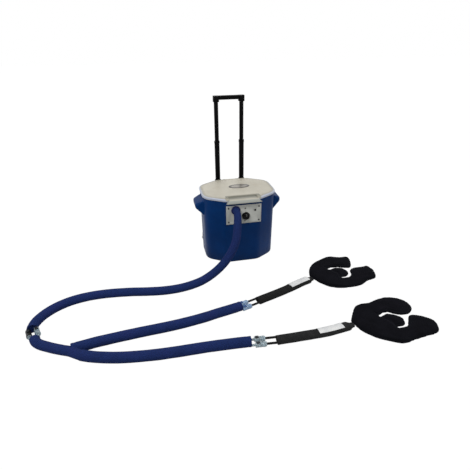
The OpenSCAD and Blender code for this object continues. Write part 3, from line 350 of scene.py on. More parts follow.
def panel_print():
    """The panel's grey film with its dark rim line and a small triangle below the knob."""
    look = Look("panel_print", Specular_IOR_Level=0.35)
    x, y, z = look.place()
    low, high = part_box("control_panel")
    clouds = look.grain(30, 4).soft(0.3, 0.7)
    film = look.blend(clouds, srgb(204, 205, 198), srgb(190, 191, 184))
    from_edge = (abs(x - (low.x + high.x) / 2) * -1 + (high.x - low.x) / 2).by(
        "MINIMUM", abs(z - (low.z + high.z) / 2) * -1 + (high.z - low.z) / 2)
    line = (from_edge > 0.0026) * (from_edge < 0.0034)
    film = look.blend(line * 0.55, film, srgb(95, 96, 96))
    film = look.blend((from_edge < 0.0012) * 0.5, film, srgb(205, 206, 205))
    mark = (z - MARK_LOW_Z > abs(x - MARK_X) * MARK_SLOPE) * (z < MARK_HIGH_Z)
    look.colour(look.blend(mark, film, srgb(60, 60, 62)))
    look.rough(look.grain(90, 2) * 0.12 + 0.36)
    return look.relief(look.grain(900, 2), 0.00004)


def brushed(name, colour, stretch, roughness=0.3):
    """Bare metal, drawn along one direction."""
    look = Look(name, Metallic=1.0)
    lines = look.grain(700, 3, stretch=stretch)
    look.colour(look.blend(lines.soft(0.3, 0.7), colour, tuple(c * 0.78 for c in colour)))
    look.rough(lines * 0.2 + (roughness - 0.1))
    return look.relief(lines, 0.00003)


def badge_silver():
    """A plain oval badge: a darker rim round a bright field, with nothing on it."""
    look = Look("badge_silver", Metallic=0.35)
    x, y, z = look.place()
    low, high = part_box("lid_badge")
    middle = (low + high) / 2
    across = ((x - middle.x) / (high.x - low.x)) ** 2 + ((y - middle.y) / (high.y - low.y)) ** 2
    from_middle = across.root() * 2
    rim = from_middle.soft(0.84, 0.88)
    inner = 1 - from_middle.soft(0.74, 0.77)
    field = look.blend(inner, srgb(84, 81, 77), srgb(134, 129, 121))
    look.colour(look.blend(rim, field, srgb(58, 55, 52)))
    look.rough(look.grain(600, 2, stretch=(1, 12, 1)) * 0.2 + 0.28)
    return look.relief(rim * 0.6 - inner * 0.3, 0.0004)


def woven(name, thread, gap, around, fuzz, pitch=1 / 1400, depth=0.0005, sheen=0.5, heather=0.5):
    """A woven hose sleeve. UV runs round the sleeve and along it in metres; around is its girth."""
    look = Look(name, Roughness=0.9, Sheen_Weight=sheen, Sheen_Roughness=0.45, Specular_IOR_Level=0.15)
    look.shader.inputs["Sheen Tint"].default_value = (*fuzz, 1)
    u, v, _ = look.place("UV")
    warp = (u * (2 * math.pi * around / pitch)).sine()
    weft = (v * (2 * math.pi / pitch)).sine()
    over = warp * weft
    tufts = look.grain(26, 4, "UV", (around, 1, 1)).soft(0.32, 0.7)
    shade = look.blend(tufts * heather, thread, tuple(c * 0.72 for c in thread))
    faded = look.grain(7, 2, "UV", (around, 1, 1)).soft(0.45, 0.7)
    shade = look.blend(faded * 0.35, shade, fuzz)
    look.colour(look.blend(over.soft(-0.9, 0.35), gap, shade))
    folds = look.grain(9, 3, "UV", (around * 5, 1, 1))
    return look.relief(over * 0.25 + folds * 1.6, depth)


SEAM_IN = 0.0075


def pad_black():
    """Soft brushed cloth, near black, with a fine nap and a stitched line near its edge."""
    look = Look("pad_black", Roughness=0.95, Sheen_Weight=0.12, Sheen_Roughness=0.5, Specular_IOR_Level=0.05)
    look.shader.inputs["Sheen Tint"].default_value = (*srgb(70, 72, 90), 1)
    nap = look.grain(900, 3)
    clouds = look.grain(22, 4).soft(0.3, 0.75)
    cloth = look.blend(clouds, srgb(9, 9, 13), srgb(15, 15, 20))
    edge = look.attribute("edge_distance")
    along = look.attribute("edge_run")
    stitch = (abs(edge - SEAM_IN) < 0.0007) * ((along * (2 * math.pi / 0.005)).sine() > -0.2)
    look.colour(look.blend(stitch * 0.8, cloth, srgb(34, 34, 41)))
    return look.relief(nap * 0.5 + look.grain(60, 3) * 1.4 + stitch * 0.5, 0.0007)


def sleeve_black(name, shade):
    """Ribbed black stretch fabric over the pads' hoses."""
    look = Look(name, Roughness=0.85, Sheen_Weight=0.12, Sheen_Roughness=0.4, Specular_IOR_Level=0.12)
    look.shader.inputs["Sheen Tint"].default_value = (*srgb(110, 110, 112), 1)
    u, v, _ = look.place("UV")
    ribs = (v * (2 * math.pi / 0.0028)).sine()
    threads = (u * 2 * math.pi * 90).sine()
    clouds = look.grain(40, 4, "UV", (0.12, 1, 1)).soft(0.3, 0.72)
    cloth = look.blend(clouds, srgb(shade, shade, shade + 1), srgb(shade + 16, shade + 16, shade + 16))
    look.colour(look.blend((ribs * threads).soft(-0.6, 0.6), srgb(20, 20, 21), cloth))
    return look.relief(ribs * 0.3 + threads * 0.2 + look.grain(16, 3, "UV", (0.3, 1, 1)) * 1.5, 0.0005)


def label_cloth():
    look = Look("label_cloth", Roughness=0.7, Sheen_Weight=0.2)
    x, y, z = look.place()
    clouds = look.grain(34, 4).soft(0.3, 0.7)
    look.colour(look.blend(clouds, srgb(240, 240, 238), srgb(218, 219, 220)))
    threads = (x * 2 * math.pi / 0.0008).sine() * (y * 2 * math.pi / 0.0008).sine()
    return look.relief(threads * 0.2 + look.grain(70, 2), 0.0005)


def foam_cells():
    look = Look("foam_cells", Roughness=0.9)
    cells = look.cells(420)
    look.colour(look.blend(cells.soft(0.1, 0.6), srgb(246, 240, 214), srgb(214, 204, 168)))
    return look.relief(cells, 0.0006)


def tub_white():
    return moulded("tub_white", srgb(232, 235, 240), srgb(220, 224, 231), 0.3, 1200)


def rim_white():
    return moulded("rim_white", srgb(204, 209, 222), srgb(190, 196, 211), 0.34, 1600)


def circuit_green():
    """A soldered board: green lacquer over square tracks."""
    look = Look("circuit_green", Coat_Weight=0.5)
    x, y, z = look.place()
    tracks = ((x * 2 * math.pi / 0.004).sine() > 0.55) * (look.grain(90, 0) > 0.5)
    rows = ((z * 2 * math.pi / 0.0032).sine() > 0.6) * (look.grain(70, 0) < 0.48)
    lines = tracks.by("MAXIMUM", rows)
    look.colour(look.blend(lines, srgb(24, 84, 48), srgb(62, 132, 76)))
    look.rough(look.grain(200, 2) * 0.2 + 0.3)
    return look.relief(lines, 0.0001)


def knob_black():
    """Black knob with a white pointer line on its raised bar."""
    look = Look("knob_black", Specular_IOR_Level=0.1)
    x, y, z = look.place()
    low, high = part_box("control_knob")
    middle = (low + high) / 2
    line = (abs(x - middle.x) < 0.0007) * (z > middle.z + 0.003) * (y < low.y + 0.0012)
    look.colour(look.blend(line, srgb(7, 7, 8), srgb(160, 160, 158)))
    look.rough(look.grain(300, 3) * 0.2 + 0.3)
    return look.relief(look.grain(2200, 1), 0.00006)


HUB_R, TREAD_R = 0.0238, 0.0246


def wheel_look(side):
    """Black tread round a dark grey hub."""
    look = Look("wheel_" + side, Specular_IOR_Level=0.4)
    low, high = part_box(side + "_wheel")
    middle = (low + high) / 2
    x, y, z = look.place()
    away = ((y - middle.y) ** 2 + (z - middle.z) ** 2).root()
    tread = away.soft(HUB_R, TREAD_R)
    dust = look.grain(120, 4).soft(0.5, 0.75)
    rubber = look.blend(dust * 0.5, srgb(22, 22, 23), srgb(58, 56, 53))
    look.colour(look.blend(tread, srgb(58, 60, 64), rubber))
    look.rough(tread * 0.35 + 0.4)
    return look.relief(look.grain(900, 2) * 0.6 + tread * (x * 2 * math.pi / 0.003).sine() * 0.5, 0.0003)


def clear_plastic(name, colour, darker, see_through=0.55):
    """Tinted clear plastic, a little cloudy inside."""
    look = Look(name, Transmission_Weight=see_through, IOR=1.46, Specular_IOR_Level=0.6)
    look.colour(look.blend(look.grain(60, 3).soft(0.3, 0.7), colour, darker))
    look.rough(look.grain(150, 3) * 0.15 + 0.08)
    return look.relief(look.grain(420, 2), 0.00015)


def lamp_lens():
    look = Look("lamp_lens", Transmission_Weight=0.35, IOR=1.5)
    rings = look.grain(1500, 2)
    look.colour(look.blend(rings, srgb(84, 80, 72), srgb(66, 63, 57)))
    look.rough(look.grain(400, 2) * 0.2 + 0.12)
    return look.relief(rings, 0.0001)


# ---------------------------------------------------------------- working on meshes


def choose(piece):
    """Only this piece is selected, and it is the active one."""
    bpy.ops.object.select_all(action="DESELECT")
    piece.select_set(True)
    bpy.context.view_layer.objects.active = piece


def apply_all(piece):
    choose(piece)
    for modifier in [m.name for m in piece.modifiers]:
        bpy.ops.object.modifier_apply(modifier=modifier)


def smooth(piece, degrees=35):
    choose(piece)
    bpy.ops.object.shade_smooth_by_angle(angle=math.radians(degrees))


def new_piece(name, points, faces):
    mesh = bpy.data.meshes.new(name)
    mesh.from_pydata([tuple(p) for p in points], [], faces)
    mesh.validate()
    piece = bpy.data.objects.new(name, mesh)
    bpy.context.scene.collection.objects.link(piece)
    return piece


def finish_piece(piece, look, body, slot, *stands_for):
    """Gives a piece its material and its body, and hides the CAD nodes it stands for. slot is not used."""
    piece.data.materials.clear()
    piece.data.materials.append(look.material)
    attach(piece, body)
    if stands_for:
        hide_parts(*stands_for)
    return piece


def body_of(node):
    return nodes[node]["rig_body"]


def slot_of(node):
    for part in frame["record"]["subparts"]:
        if part["node"] == node:
            return part["material_slot"]
    return None


def copy_of(node, name, keep=None):
    """A merged copy of a CAD node's mesh; keep(middle) says which of its separate solids stay."""
    piece = bpy.data.objects.new(name, nodes[node].data.copy())
    bpy.context.scene.collection.objects.link(piece)
    choose(piece)
    bpy.ops.object.mode_set(mode="EDIT")
    bpy.ops.mesh.select_all(action="SELECT")
    bpy.ops.mesh.remove_doubles(threshold=0.00001)
    bpy.ops.object.mode_set(mode="OBJECT")
    if keep:
        drop_solids(piece, keep)
    choose(piece)
    bpy.ops.object.mode_set(mode="EDIT")
    bpy.ops.mesh.select_all(action="SELECT")
    bpy.ops.mesh.dissolve_limited(angle_limit=math.radians(0.8))
    bpy.ops.object.mode_set(mode="OBJECT")
    return piece


def drop_solids(piece, keep):
    """Deletes the separate solids whose middle keep() refuses."""
    choose(piece)
    bpy.ops.object.mode_set(mode="EDIT")
    bpy.ops.mesh.separate(type="LOOSE")
    bpy.ops.object.mode_set(mode="OBJECT")
    kept = []
    for part in list(bpy.context.selected_objects):
        corners = [Vector(c) for c in part.bound_box]
        if keep(sum(corners, Vector()) / 8, part):
            kept.append(part)
        elif part != piece:
            bpy.data.objects.remove(part)
    if piece not in kept:
        piece.data = kept[0].data
        bpy.data.objects.remove(kept.pop(0))
        kept.insert(0, piece)
    choose(piece)
    for part in kept:
        part.select_set(True)
    if len(kept) > 1:
        bpy.ops.object.join()


def dressed(node, look, edge=0.0006, name=None, keep=None, angle=32, segments=2, shape=None):
    """A copy of a CAD node with its hard edges softened, in place of the node."""
    piece = copy_of(node, name or node + "_fine", keep)
    if shape:
        shape(piece)
    if edge:
        bevel = piece.modifiers.new("edges", "BEVEL")
        bevel.width = edge
        bevel.segments = segments
        bevel.limit_method = "ANGLE"
        bevel.angle_limit = math.radians(angle)
        apply_all(piece)
    smooth(piece, angle)
    return finish_piece(piece, look, body_of(node), slot_of(node), node)


def painted(look, *names):
    """CAD nodes that stay as they are and take a material."""
    for name in names:
        nodes[name].data.materials.clear()
        nodes[name].data.materials.append(look.material)


# ---------------------------------------------------------------- hose routes, in millimetres

MAIN_ROUTE = [
    (-38, -154.6, 300), (-38, -180, 299), (-41, -205, 291), (-46, -229, 273), (-53, -251, 244),
    (-62, -271, 207), (-78, -287, 171), (-101, -299, 138), (-128, -307, 106), (-160, -313, 77),
    (-199, -318, 50), (-243, -323, 29), (-288, -332, 20.5), (-335, -345, 20.5), (-385, -351, 20.5),
    (-445, -349, 20.5), (-505, -340, 20.5), (-565, -329, 20.5), (-625, -321, 20.5), (-685, -317, 20.5),
    (-745, -319, 20.5), (-800, -329, 20.5), (-850, -348, 20.5), (-890, -374, 20.5), (-922, -406, 20.5),
    (-944, -440, 20.5), (-955, -470, 20.5), (-958, -500, 20.5),
]
TRUNK_ROUTE = [
    (-935, -564, 20.5), (-925, -585, 20.5), (-905, -604, 20.5), (-878, -621, 20.5), (-850, -637, 20.5),
    (-818, -653, 20.5), (-786, -668, 20.5),
]
REAR_ROUTE = [
    (-786, -655, 21.5), (-745, -647, 21.5), (-700, -638, 21.5), (-650, -631, 21.5), (-600, -625, 21.5),
    (-550, -620, 21.5), (-500, -615, 21.5), (-450, -611, 21.5), (-400, -606, 21.5), (-350, -599, 21.5),
    (-300, -590, 21.5), (-250, -579, 21.5), (-200, -566, 21.5), (-152, -555, 21.5), (-105, -543, 21.5),
]
FRONT_ROUTE = [
    (-788, -674, 21.5), (-745, -697, 21.5), (-700, -716, 21.5), (-650, -731, 21.5), (-600, -742, 21.5),
    (-550, -749, 21.5), (-500, -754, 21.5), (-450, -757, 21.5), (-400, -758, 21.5), (-350, -758, 21.5),
    (-300, -758, 21.5), (-250, -759, 21.5), (-200, -761, 21.5), (-155, -763, 21.5), (-116, -766, 21.5),
]
REAR_PAD_ROUTE = [
    (-18, -513, 13), (20, -499, 13), (60, -485, 13), (100, -471, 13), (140, -455, 13), (180, -438, 13),
    (220, -421, 13), (255, -407, 12), (286, -394, 9),
]
FRONT_PAD_ROUTE = [
    (-14, -772, 13), (30, -772, 13), (75, -772, 13), (120, -772, 13), (165, -771, 13), (205, -769, 13),
    (245, -764, 13), (285, -757, 12), (320, -750, 9),
]
MAIN_ANGLE, TRUNK_END_ANGLE = -70, -25
REAR_START_ANGLE, REAR_ANGLE, REAR_NECK_ANGLE = 11, 19, 24
FRONT_START_ANGLE, FRONT_ANGLE, FRONT_NECK_ANGLE = -24, -4, 12


def flat_way(degrees):
    return Vector((math.cos(math.radians(degrees)), math.sin(math.radians(degrees)), 0))


def spline(a, b, c, d, t):
    """A point between b and c on the smooth curve through all four."""
    squared = (2 * a - 5 * b + 4 * c - d) * t ** 2
    cubed = (3 * b - 3 * c + d - a) * t ** 3
    return 0.5 * ((2 * b) + (c - a) * t + squared + cubed)


def smooth_line(route, start, end, spacing):
    """A smooth line through a route given in millimetres, in metres, with points about so far apart."""
    points = [Vector(p) * MM for p in route]
    first = points[0] - start * (points[1] - points[0]).length
    last = points[-1] + end * (points[-1] - points[-2]).length
    knots = [first, *points, last]
    line = []
    for i in range(1, len(knots) - 2):
        steps = max(1, round((knots[i + 1] - knots[i]).length / spacing))
        line += [spline(knots[i - 1], knots[i], knots[i + 1], knots[i + 2], k / steps) for k in range(steps)]
    return [*line, points[-1]]


def ways(line, start, end):
    """The direction of a line at each of its points."""
    inner = [(line[i + 1] - line[i - 1]).normalized() for i in range(1, len(line) - 1)]
    return [start, *inner, end]


def run_of(line):
    """How far along the line each point lies."""
    run = [0.0]
    for a, b in zip(line, line[1:]):
        run.append(run[-1] + (b - a).length)
    return run


SIDES = 40


def squared_off(angle, half_w, half_h, squareness, side, up):
    """From the middle of a sleeve's section to its edge; 2 is an oval, and more is squarer."""
    c, h = math.cos(angle), math.sin(angle)
    out = side * (half_w * math.copysign(abs(c) ** (2 / squareness), c))
    return out + up * (half_h * math.copysign(abs(h) ** (2 / squareness), h))


def swept(name, line, directions, sizes, squareness, wrinkle, hem):
    """A closed tube along a line, with UVs round it in turns and along it in metres.
    sizes holds half its width and half its height at each point. hem is how deep its ends turn in."""
    run = run_of(line)
    rings = []
    for at, way, (half_w, half_h), s in zip(line, directions, sizes, run):
        side = way.cross(Vector((0, 0, 1))).normalized()
        up = side.cross(way)
        ring = []
        for k in range(SIDES):
            a = 2 * math.pi * k / SIDES
            out = squared_off(a, half_w, half_h, squareness, side, up)
            lump = 1 + wrinkle * noise.noise(Vector((math.cos(a) * 1.4, math.sin(a) * 1.4, s * 22)))
            ring.append(at + out * lump)
        rings.append((ring, s))
    rings = hemmed(rings, line, directions, hem)
    points = [p for ring, _ in rings for p in ring]
    faces = [list(range(SIDES)), [len(points) - SIDES + k for k in range(SIDES)][::-1]]
    for i in range(len(rings) - 1):
        for k in range(SIDES):
            n = (k + 1) % SIDES
            faces.append([i * SIDES + k, (i + 1) * SIDES + k, (i + 1) * SIDES + n, i * SIDES + n])
    piece = new_piece(name, points, faces)
    uv = piece.data.uv_layers.new(name="sleeve")
    for polygon in piece.data.polygons:
        ks = [piece.data.loops[i].vertex_index % SIDES for i in polygon.loop_indices]
        wraps = max(ks) - min(ks) > SIDES / 2
        for i, k in zip(polygon.loop_indices, ks):
            ring_index = piece.data.loops[i].vertex_index // SIDES
            turn = 1.0 if wraps and k == 0 else k / SIDES
            uv.data[i].uv = (turn, rings[ring_index][1])
    choose(piece)
    bpy.ops.object.mode_set(mode="EDIT")
    bpy.ops.mesh.select_all(action="SELECT")
    bpy.ops.mesh.normals_make_consistent(inside=False)
    bpy.ops.object.mode_set(mode="OBJECT")
    smooth(piece, 50)
    return piece


SOFT_END = 0.0015


def hemmed(rings, line, directions, hem):
    """Turns both ends of a tube in on themselves, as a sewn sleeve's open end looks."""

    def shrunk(ring, at, share, shift=Vector()):
        return [at + (p - at) * share + shift for p in ring]

    ends = []
    for index, way, inward in ((0, directions[0], 1), (-1, directions[-1], -1)):
        ring, s = rings[index]
        at = line[index]
        turned = [(shrunk(ring, at, 0.965), s), (shrunk(ring, at, 0.86), s),
                  (shrunk(ring, at, 0.82, way * hem * inward), s + hem * inward)]
        soft = (shrunk(ring, at, 1.0, way * SOFT_END * inward), s + SOFT_END * inward)
        ends.append((turned, soft))
    (start_in, start_soft), (end_in, end_soft) = ends
    return [*start_in[::-1], start_soft, *rings[1:-1], end_soft, *end_in]


HOSE_D, BRANCH_D = 0.0400, 0.0420
HOSE_STEP, HOSE_HEM, HOSE_WRINKLE = 0.007, 0.006, 0.02
CUFF_AT, CUFF_W, CUFF_DRAW = 0.014, 0.0022, 0.03
GATHER_L = 0.16
FRONT_SLEEVE_AT = 0.235
ROUND = 2.0


def cuffed(near):
    """What share of its width a sleeve keeps so near to the sewn line of a cuff."""
    return 1 - CUFF_DRAW * math.exp(-(near / CUFF_W) ** 2)


def sleeve_sizes(line, diameter):
    """A round sleeve that draws in a little at the sewn line of each cuff."""
    run = run_of(line)
    sizes = []
    for s in run:
        half = diameter / 2 * cuffed(min(abs(s - CUFF_AT), abs(run[-1] - s - CUFF_AT)))
        sizes.append((half, half))
    return sizes


def length_of(line):
    return run_of(line)[-1]


def with_points(line, places):
    """The line with a point more at each of these distances along it."""
    run = run_of(line)
    result = []
    for i, at in enumerate(line):
        result.append(at)
        if i + 1 < len(line):
            for s in sorted(places):
                if run[i] < s < run[i + 1]:
                    result.append(at.lerp(line[i + 1], (s - run[i]) / (run[i + 1] - run[i])))
    return result


def gathered(line, sizes, share):
    """Narrows the start of a sleeve to that share, easing out over a length."""
    result = []
    for s, (half, _) in zip(run_of(line), sizes):
        half *= share + (1 - share) * eased(s / GATHER_L)
        result.append((half, half))
    return result


def round_hose(name, route, start, end, diameter, look, body, stands_for, start_share=1.0):
    line = smooth_line(route, start, end, HOSE_STEP)
    line = with_points(line, [CUFF_AT, length_of(line) - CUFF_AT])
    sizes = gathered(line, sleeve_sizes(line, diameter), start_share)
    piece = swept(name, line, ways(line, start, end), sizes, ROUND, HOSE_WRINKLE, HOSE_HEM)
    finish_piece(piece, look, body, "hose_fabric", *stands_for)
    return piece, line


def forked_hose(look):
    """The trunk and, in one run with it, the front branch, whose wider sleeve starts over the trunk's."""
    start, end = flat_way(MAIN_ANGLE), flat_way(FRONT_ANGLE)
    line = smooth_line(TRUNK_ROUTE + FRONT_ROUTE[1:], start, end, HOSE_STEP)
    line = with_points(line, [FRONT_SLEEVE_AT - 0.0006, FRONT_SLEEVE_AT, FRONT_SLEEVE_AT + 0.002,
                              FRONT_SLEEVE_AT + CUFF_AT, length_of(line) - CUFF_AT])
    run = run_of(line)
    sizes = []
    for s, (half, _) in zip(run, sleeve_sizes(line, BRANCH_D)):
        if s < FRONT_SLEEVE_AT - 0.0001:
            half = (HOSE_D - 0.001) / 2
        elif s < FRONT_SLEEVE_AT + 0.0019:
            half = BRANCH_D / 2 - 0.0006
        sizes.append((half, half))
    piece = swept("forked_sleeve", line, ways(line, start, end), sizes, ROUND, HOSE_WRINKLE, HOSE_HEM)
    finish_piece(piece, look, "hose_set", "hose_fabric", "trunk_hose", "y_splitter", "front_branch_hose")
    return piece, line


def add_hoses():
    """The blue sleeves: from the cooler to the coupling, then the trunk with its two branches."""
    blue = woven("hose_blue", srgb(32, 53, 110), srgb(9, 16, 48), math.pi * HOSE_D, srgb(46, 52, 120),
                 sheen=0.06)
    main = round_hose("main_sleeve", MAIN_ROUTE, Vector((0, -1, 0)), flat_way(MAIN_ANGLE), HOSE_D, blue,
                      "cooler", ["main_hose"], start_share=0.86)
    rear = round_hose("rear_sleeve", REAR_ROUTE, flat_way(REAR_START_ANGLE), flat_way(REAR_ANGLE),
                      BRANCH_D, blue, "hose_set", ["rear_branch_hose"])
    return {"main": main, "front": forked_hose(blue), "rear": rear}


SLEEVE_W, SLEEVE_H = 0.047, 0.0235
SLEEVE_STEP, SLEEVE_HEM, SLEEVE_WRINKLE, SLEEVE_SQUARENESS = 0.006, 0.005, 0.035, 2.3
NECK_W, NECK_H, NECK_FROM_END, NECK_L = 0.026, 0.015, 0.030, 0.022
LABEL_L, LABEL_OUT, LABEL_T = 0.116, 0.0011, 0.0007
LABEL_FROM, LABEL_TURN, LABEL_STEPS = 58, 112, 14
SLEEVE_SHADE = {"rear": 22, "front": 36}


def pad_sleeve(side, route, start, end, body):
    """The flat black sleeve between a pad's couplings and the pad, drawn in at its neck."""
    line = smooth_line(route, start, end, SLEEVE_STEP)
    total = length_of(line)
    sizes = []
    for s in run_of(line):
        draw = eased((s - (total - NECK_FROM_END)) / NECK_L)
        cuff = cuffed(abs(s - CUFF_AT))
        sizes.append(((SLEEVE_W * (1 - draw) + NECK_W * draw) / 2 * cuff,
                      (SLEEVE_H * (1 - draw) + NECK_H * draw) / 2 * cuff))
    piece = swept(side + "_black_sleeve", line, ways(line, start, end), sizes, SLEEVE_SQUARENESS,
                  SLEEVE_WRINKLE, SLEEVE_HEM)
    look = sleeve_black(side + "_sleeve_cloth", SLEEVE_SHADE[side])
    finish_piece(piece, look, body, "black_fabric", side + "_pad_hose")
    return piece, line, sizes


def label_on(side, line, sizes, first, last, body, look):
    """A blank cloth label wrapped over the top and the far edge of a black sleeve."""
    run = run_of(line)
    inside = [i for i, s in enumerate(run) if first <= s <= last]
    across = [math.radians(LABEL_FROM + LABEL_TURN * k / LABEL_STEPS) for k in range(LABEL_STEPS + 1)]
    points = []
    for i in inside:
        way = (line[i + 1] - line[i - 1]).normalized()
        sideways = way.cross(Vector((0, 0, 1))).normalized()
        up = sideways.cross(way)
        half_w, half_h = sizes[i]
        for a in across:
            out = squared_off(a, half_w + LABEL_OUT, half_h + LABEL_OUT, SLEEVE_SQUARENESS, sideways, up)
            points.append(line[i] + out * (1 + 0.02 * noise.noise(Vector((a, run[i] * 30, 3)))))
    n = len(across)
    faces = [[r * n + k, r * n + k + 1, (r + 1) * n + k + 1, (r + 1) * n + k]
             for r in range(len(inside) - 1) for k in range(n - 1)]
    piece = new_piece(side + "_label", points, faces)
    solid = piece.modifiers.new("thickness", "SOLIDIFY")
    solid.thickness = LABEL_T
    solid.offset = 0
    apply_all(piece)
    smooth(piece, 40)
    return finish_piece(piece, look, body, "black_fabric")


# ---------------------------------------------------------------- pads

REAR_PAD_OUTLINE = [
    (295.2, -414), (291.6, -405.8), (286.3, -393.9), (281, -382), (277.4, -373.8), (288, -336), (308, -295),
    (345, -255), (395, -228), (450, -208), (505, -226), (545, -230), (550, -262), (538, -305), (518, -334),
    (482, -327), (440, -316), (402, -325), (406, -335), (440, -327), (474, -338), (487, -362), (483, -390),
    (462, -410), (434, -412), (434, -421), (466, -420), (492, -398), (508, -365), (535, -350), (580, -350),
    (610, -348), (622, -385), (612, -432), (590, -462), (545, -474), (500, -499), (450, -506), (395, -500),
    (345, -480), (308, -442),
]
FRONT_PAD_OUTLINE = [
    (325, -771.4), (323.1, -762.6), (320.4, -749.9), (317.7, -737.2), (315.8, -728.4), (330, -704),
    (352, -672), (380, -638), (415, -624), (460, -622), (505, -608), (556, -603), (602, -622), (626, -655),
    (624, -698), (600, -725), (570, -733), (532, -722), (500, -704), (456, -718), (458, -727), (494, -714),
    (524, -728), (544, -752), (540, -782), (522, -799), (494, -799), (494, -808), (530, -806), (556, -784),
    (588, -748), (635, -768), (664, -806), (652, -850), (625, -874), (570, -882), (515, -890), (462, -898),
    (410, -872), (365, -838), (335, -798),
]
PAD_LOW, PAD_T = 0.0006, 0.014
PAD_VOXEL = 0.0045
SWELL_CAP, SWELL_PRESSURE, SWELL_FRAMES = 0.006, 4, 20
SEAM_PULL, SEAM_W = 0.34, 0.0028
LUMPS_HIGH, LUMPS_PER_METRE = 0.0011, 26
BAG_LOW, BAG_HIGH = PAD_LOW + 0.003, PAD_LOW + PAD_T - 0.004


def closed_line(outline, steps):
    points = [Vector((x, y, 0)) * MM for x, y in outline]
    n = len(points)
    return [spline(points[i - 1], points[i], points[(i + 1) % n], points[(i + 2) % n], k / steps)
            for i in range(n) for k in range(steps)]


def swell(piece):
    """Inflates a closed cloth shape with a short cloth simulation and keeps how far it may move small."""
    rest = [v.co.copy() for v in piece.data.vertices]
    cloth = piece.modifiers.new("cloth", "CLOTH")
    cloth.settings.use_pressure = True
    cloth.settings.uniform_pressure_force = SWELL_PRESSURE
    cloth.settings.effector_weights.gravity = 0
    scene = bpy.context.scene
    for step in range(1, SWELL_FRAMES + 1):
        scene.frame_set(step)
    bpy.context.view_layer.update()
    moved = piece.evaluated_get(bpy.context.evaluated_depsgraph_get())
    places = [v.co.copy() for v in moved.data.vertices]
    piece.modifiers.clear()
    scene.frame_set(1)
    for vertex, old, new in zip(piece.data.vertices, rest, places):
        shift = new - old
        if shift.length > SWELL_CAP:
            shift *= SWELL_CAP / shift.length
        vertex.co = old + shift


def add_pad(side, outline, look, body):
    """A soft wrap pad: a flat bag cut to its outline, swollen and then stitched round its edge."""
    edge = closed_line(outline, 6)
    n = len(edge)
    points = [Vector((p.x, p.y, z)) for z in (BAG_LOW, BAG_HIGH) for p in edge]
    faces = [list(range(n)), list(range(2 * n - 1, n - 1, -1))]
    faces += [[i, n + i, n + (i + 1) % n, (i + 1) % n] for i in range(n)]
    piece = new_piece(side + "_pad_cloth", points, faces)
    choose(piece)
    bpy.ops.object.mode_set(mode="EDIT")
    bpy.ops.mesh.select_all(action="SELECT")
    bpy.ops.mesh.quads_convert_to_tris()
    bpy.ops.mesh.normals_make_consistent(inside=False)
    bpy.ops.object.mode_set(mode="OBJECT")
    remesh = piece.modifiers.new("even", "REMESH")
    remesh.mode = "VOXEL"
    remesh.voxel_size = PAD_VOXEL
    apply_all(piece)
    swell(piece)
    finer = piece.modifiers.new("finer", "SUBSURF")
    finer.levels = 1
    finer.render_levels = 1
    apply_all(piece)
    stitch(piece, closed_line(outline, 24))
    smooth(piece, 80)
    finish_piece(piece, look, body, "pad_fabric", side + "_pad")
    return piece


def stitch(piece, edge):
    """Pulls the pad in along a sewn line near its edge, keeps it on the floor and off its limits,
    and stores how far each point is from the edge and along it."""
    tree = kdtree.KDTree(len(edge))
    run = [0.0]
    for i, p in enumerate(edge):
        tree.insert(p, i)
        run.append(run[-1] + (edge[(i + 1) % len(edge)] - p).length)
    tree.balance()
    distance = piece.data.attributes.new("edge_distance", "FLOAT", "POINT")
    along = piece.data.attributes.new("edge_run", "FLOAT", "POINT")
    middle = PAD_LOW + PAD_T / 2
    for i, vertex in enumerate(piece.data.vertices):
        x, y, z = vertex.co
        _, nearest, away = tree.find(Vector((x, y, 0)))
        distance.data[i].value = away
        along.data[i].value = run[nearest]
        pull = SEAM_PULL * math.exp(-((away - SEAM_IN) / SEAM_W) ** 2)
        soft_lumps = LUMPS_HIGH * noise.noise(Vector((x * LUMPS_PER_METRE, y * LUMPS_PER_METRE, 0)))
        z = middle + (z - middle) * (1 - pull)
        if z > middle:
            z += soft_lumps
        vertex.co.z = min(PAD_LOW + PAD_T + 0.002, max(PAD_LOW, z))


# ---------------------------------------------------------------- the hard parts


def add_cooler():
    dressed("cooler_shell", cooler_blue(), edge=0.0022, segments=3)
    foam = foam_cells()
    painted(foam, "foam_insulation", "lid_foam")
    painted(tub_white(), "cooler_liner")
    dressed("lid_shell", lid_beige(), edge=0.0018, segments=3, shape=shape_lid)
    dressed("lid_liner", rim_white(), edge=0.0008)
    dressed("lid_badge", badge_silver(), edge=0.0004)
    dressed("control_panel", panel_print(), edge=0.0005)
    steel = brushed("screw_steel", srgb(62, 62, 66), (1, 1, 1))
    dressed("panel_screws", steel, edge=0.0003)
    black = moulded("black_plastic", srgb(14, 14, 16), srgb(22, 22, 24), 0.42, gloss=0.2)
    gland_blue = moulded("gland_blue", srgb(34, 40, 94), srgb(28, 34, 82), 0.5, gloss=0.15)
    dressed("hose_gland", gland_blue, edge=0.0008)
    dressed("power_jack", black, edge=0.0003)
    dressed("control_knob", knob_black(), edge=0.0004)
    dressed("indicator_lamp", lamp_lens(), edge=0.0)
    dressed("hinge_bracket", black, edge=0.0006)
    painted(black, "gland_nut", "pump_housing", "pump_cover", "pump_lead", "flow_control")
    painted(brushed("pin_steel", srgb(190, 192, 196), (12, 1, 1)), "hinge_pin", "axle")
    painted(brushed("shaft_steel", srgb(190, 192, 196), (1, 12, 1)), "control_shaft")
    painted(circuit_green(), "control_board")
    tube = clear_plastic("clear_tube", srgb(205, 218, 226), srgb(188, 204, 214), 0.7)
    painted(tube, "supply_tube", "return_tube")
    painted(moulded("impeller_plastic", srgb(196, 198, 200), srgb(180, 182, 184), 0.4), "pump_impeller")


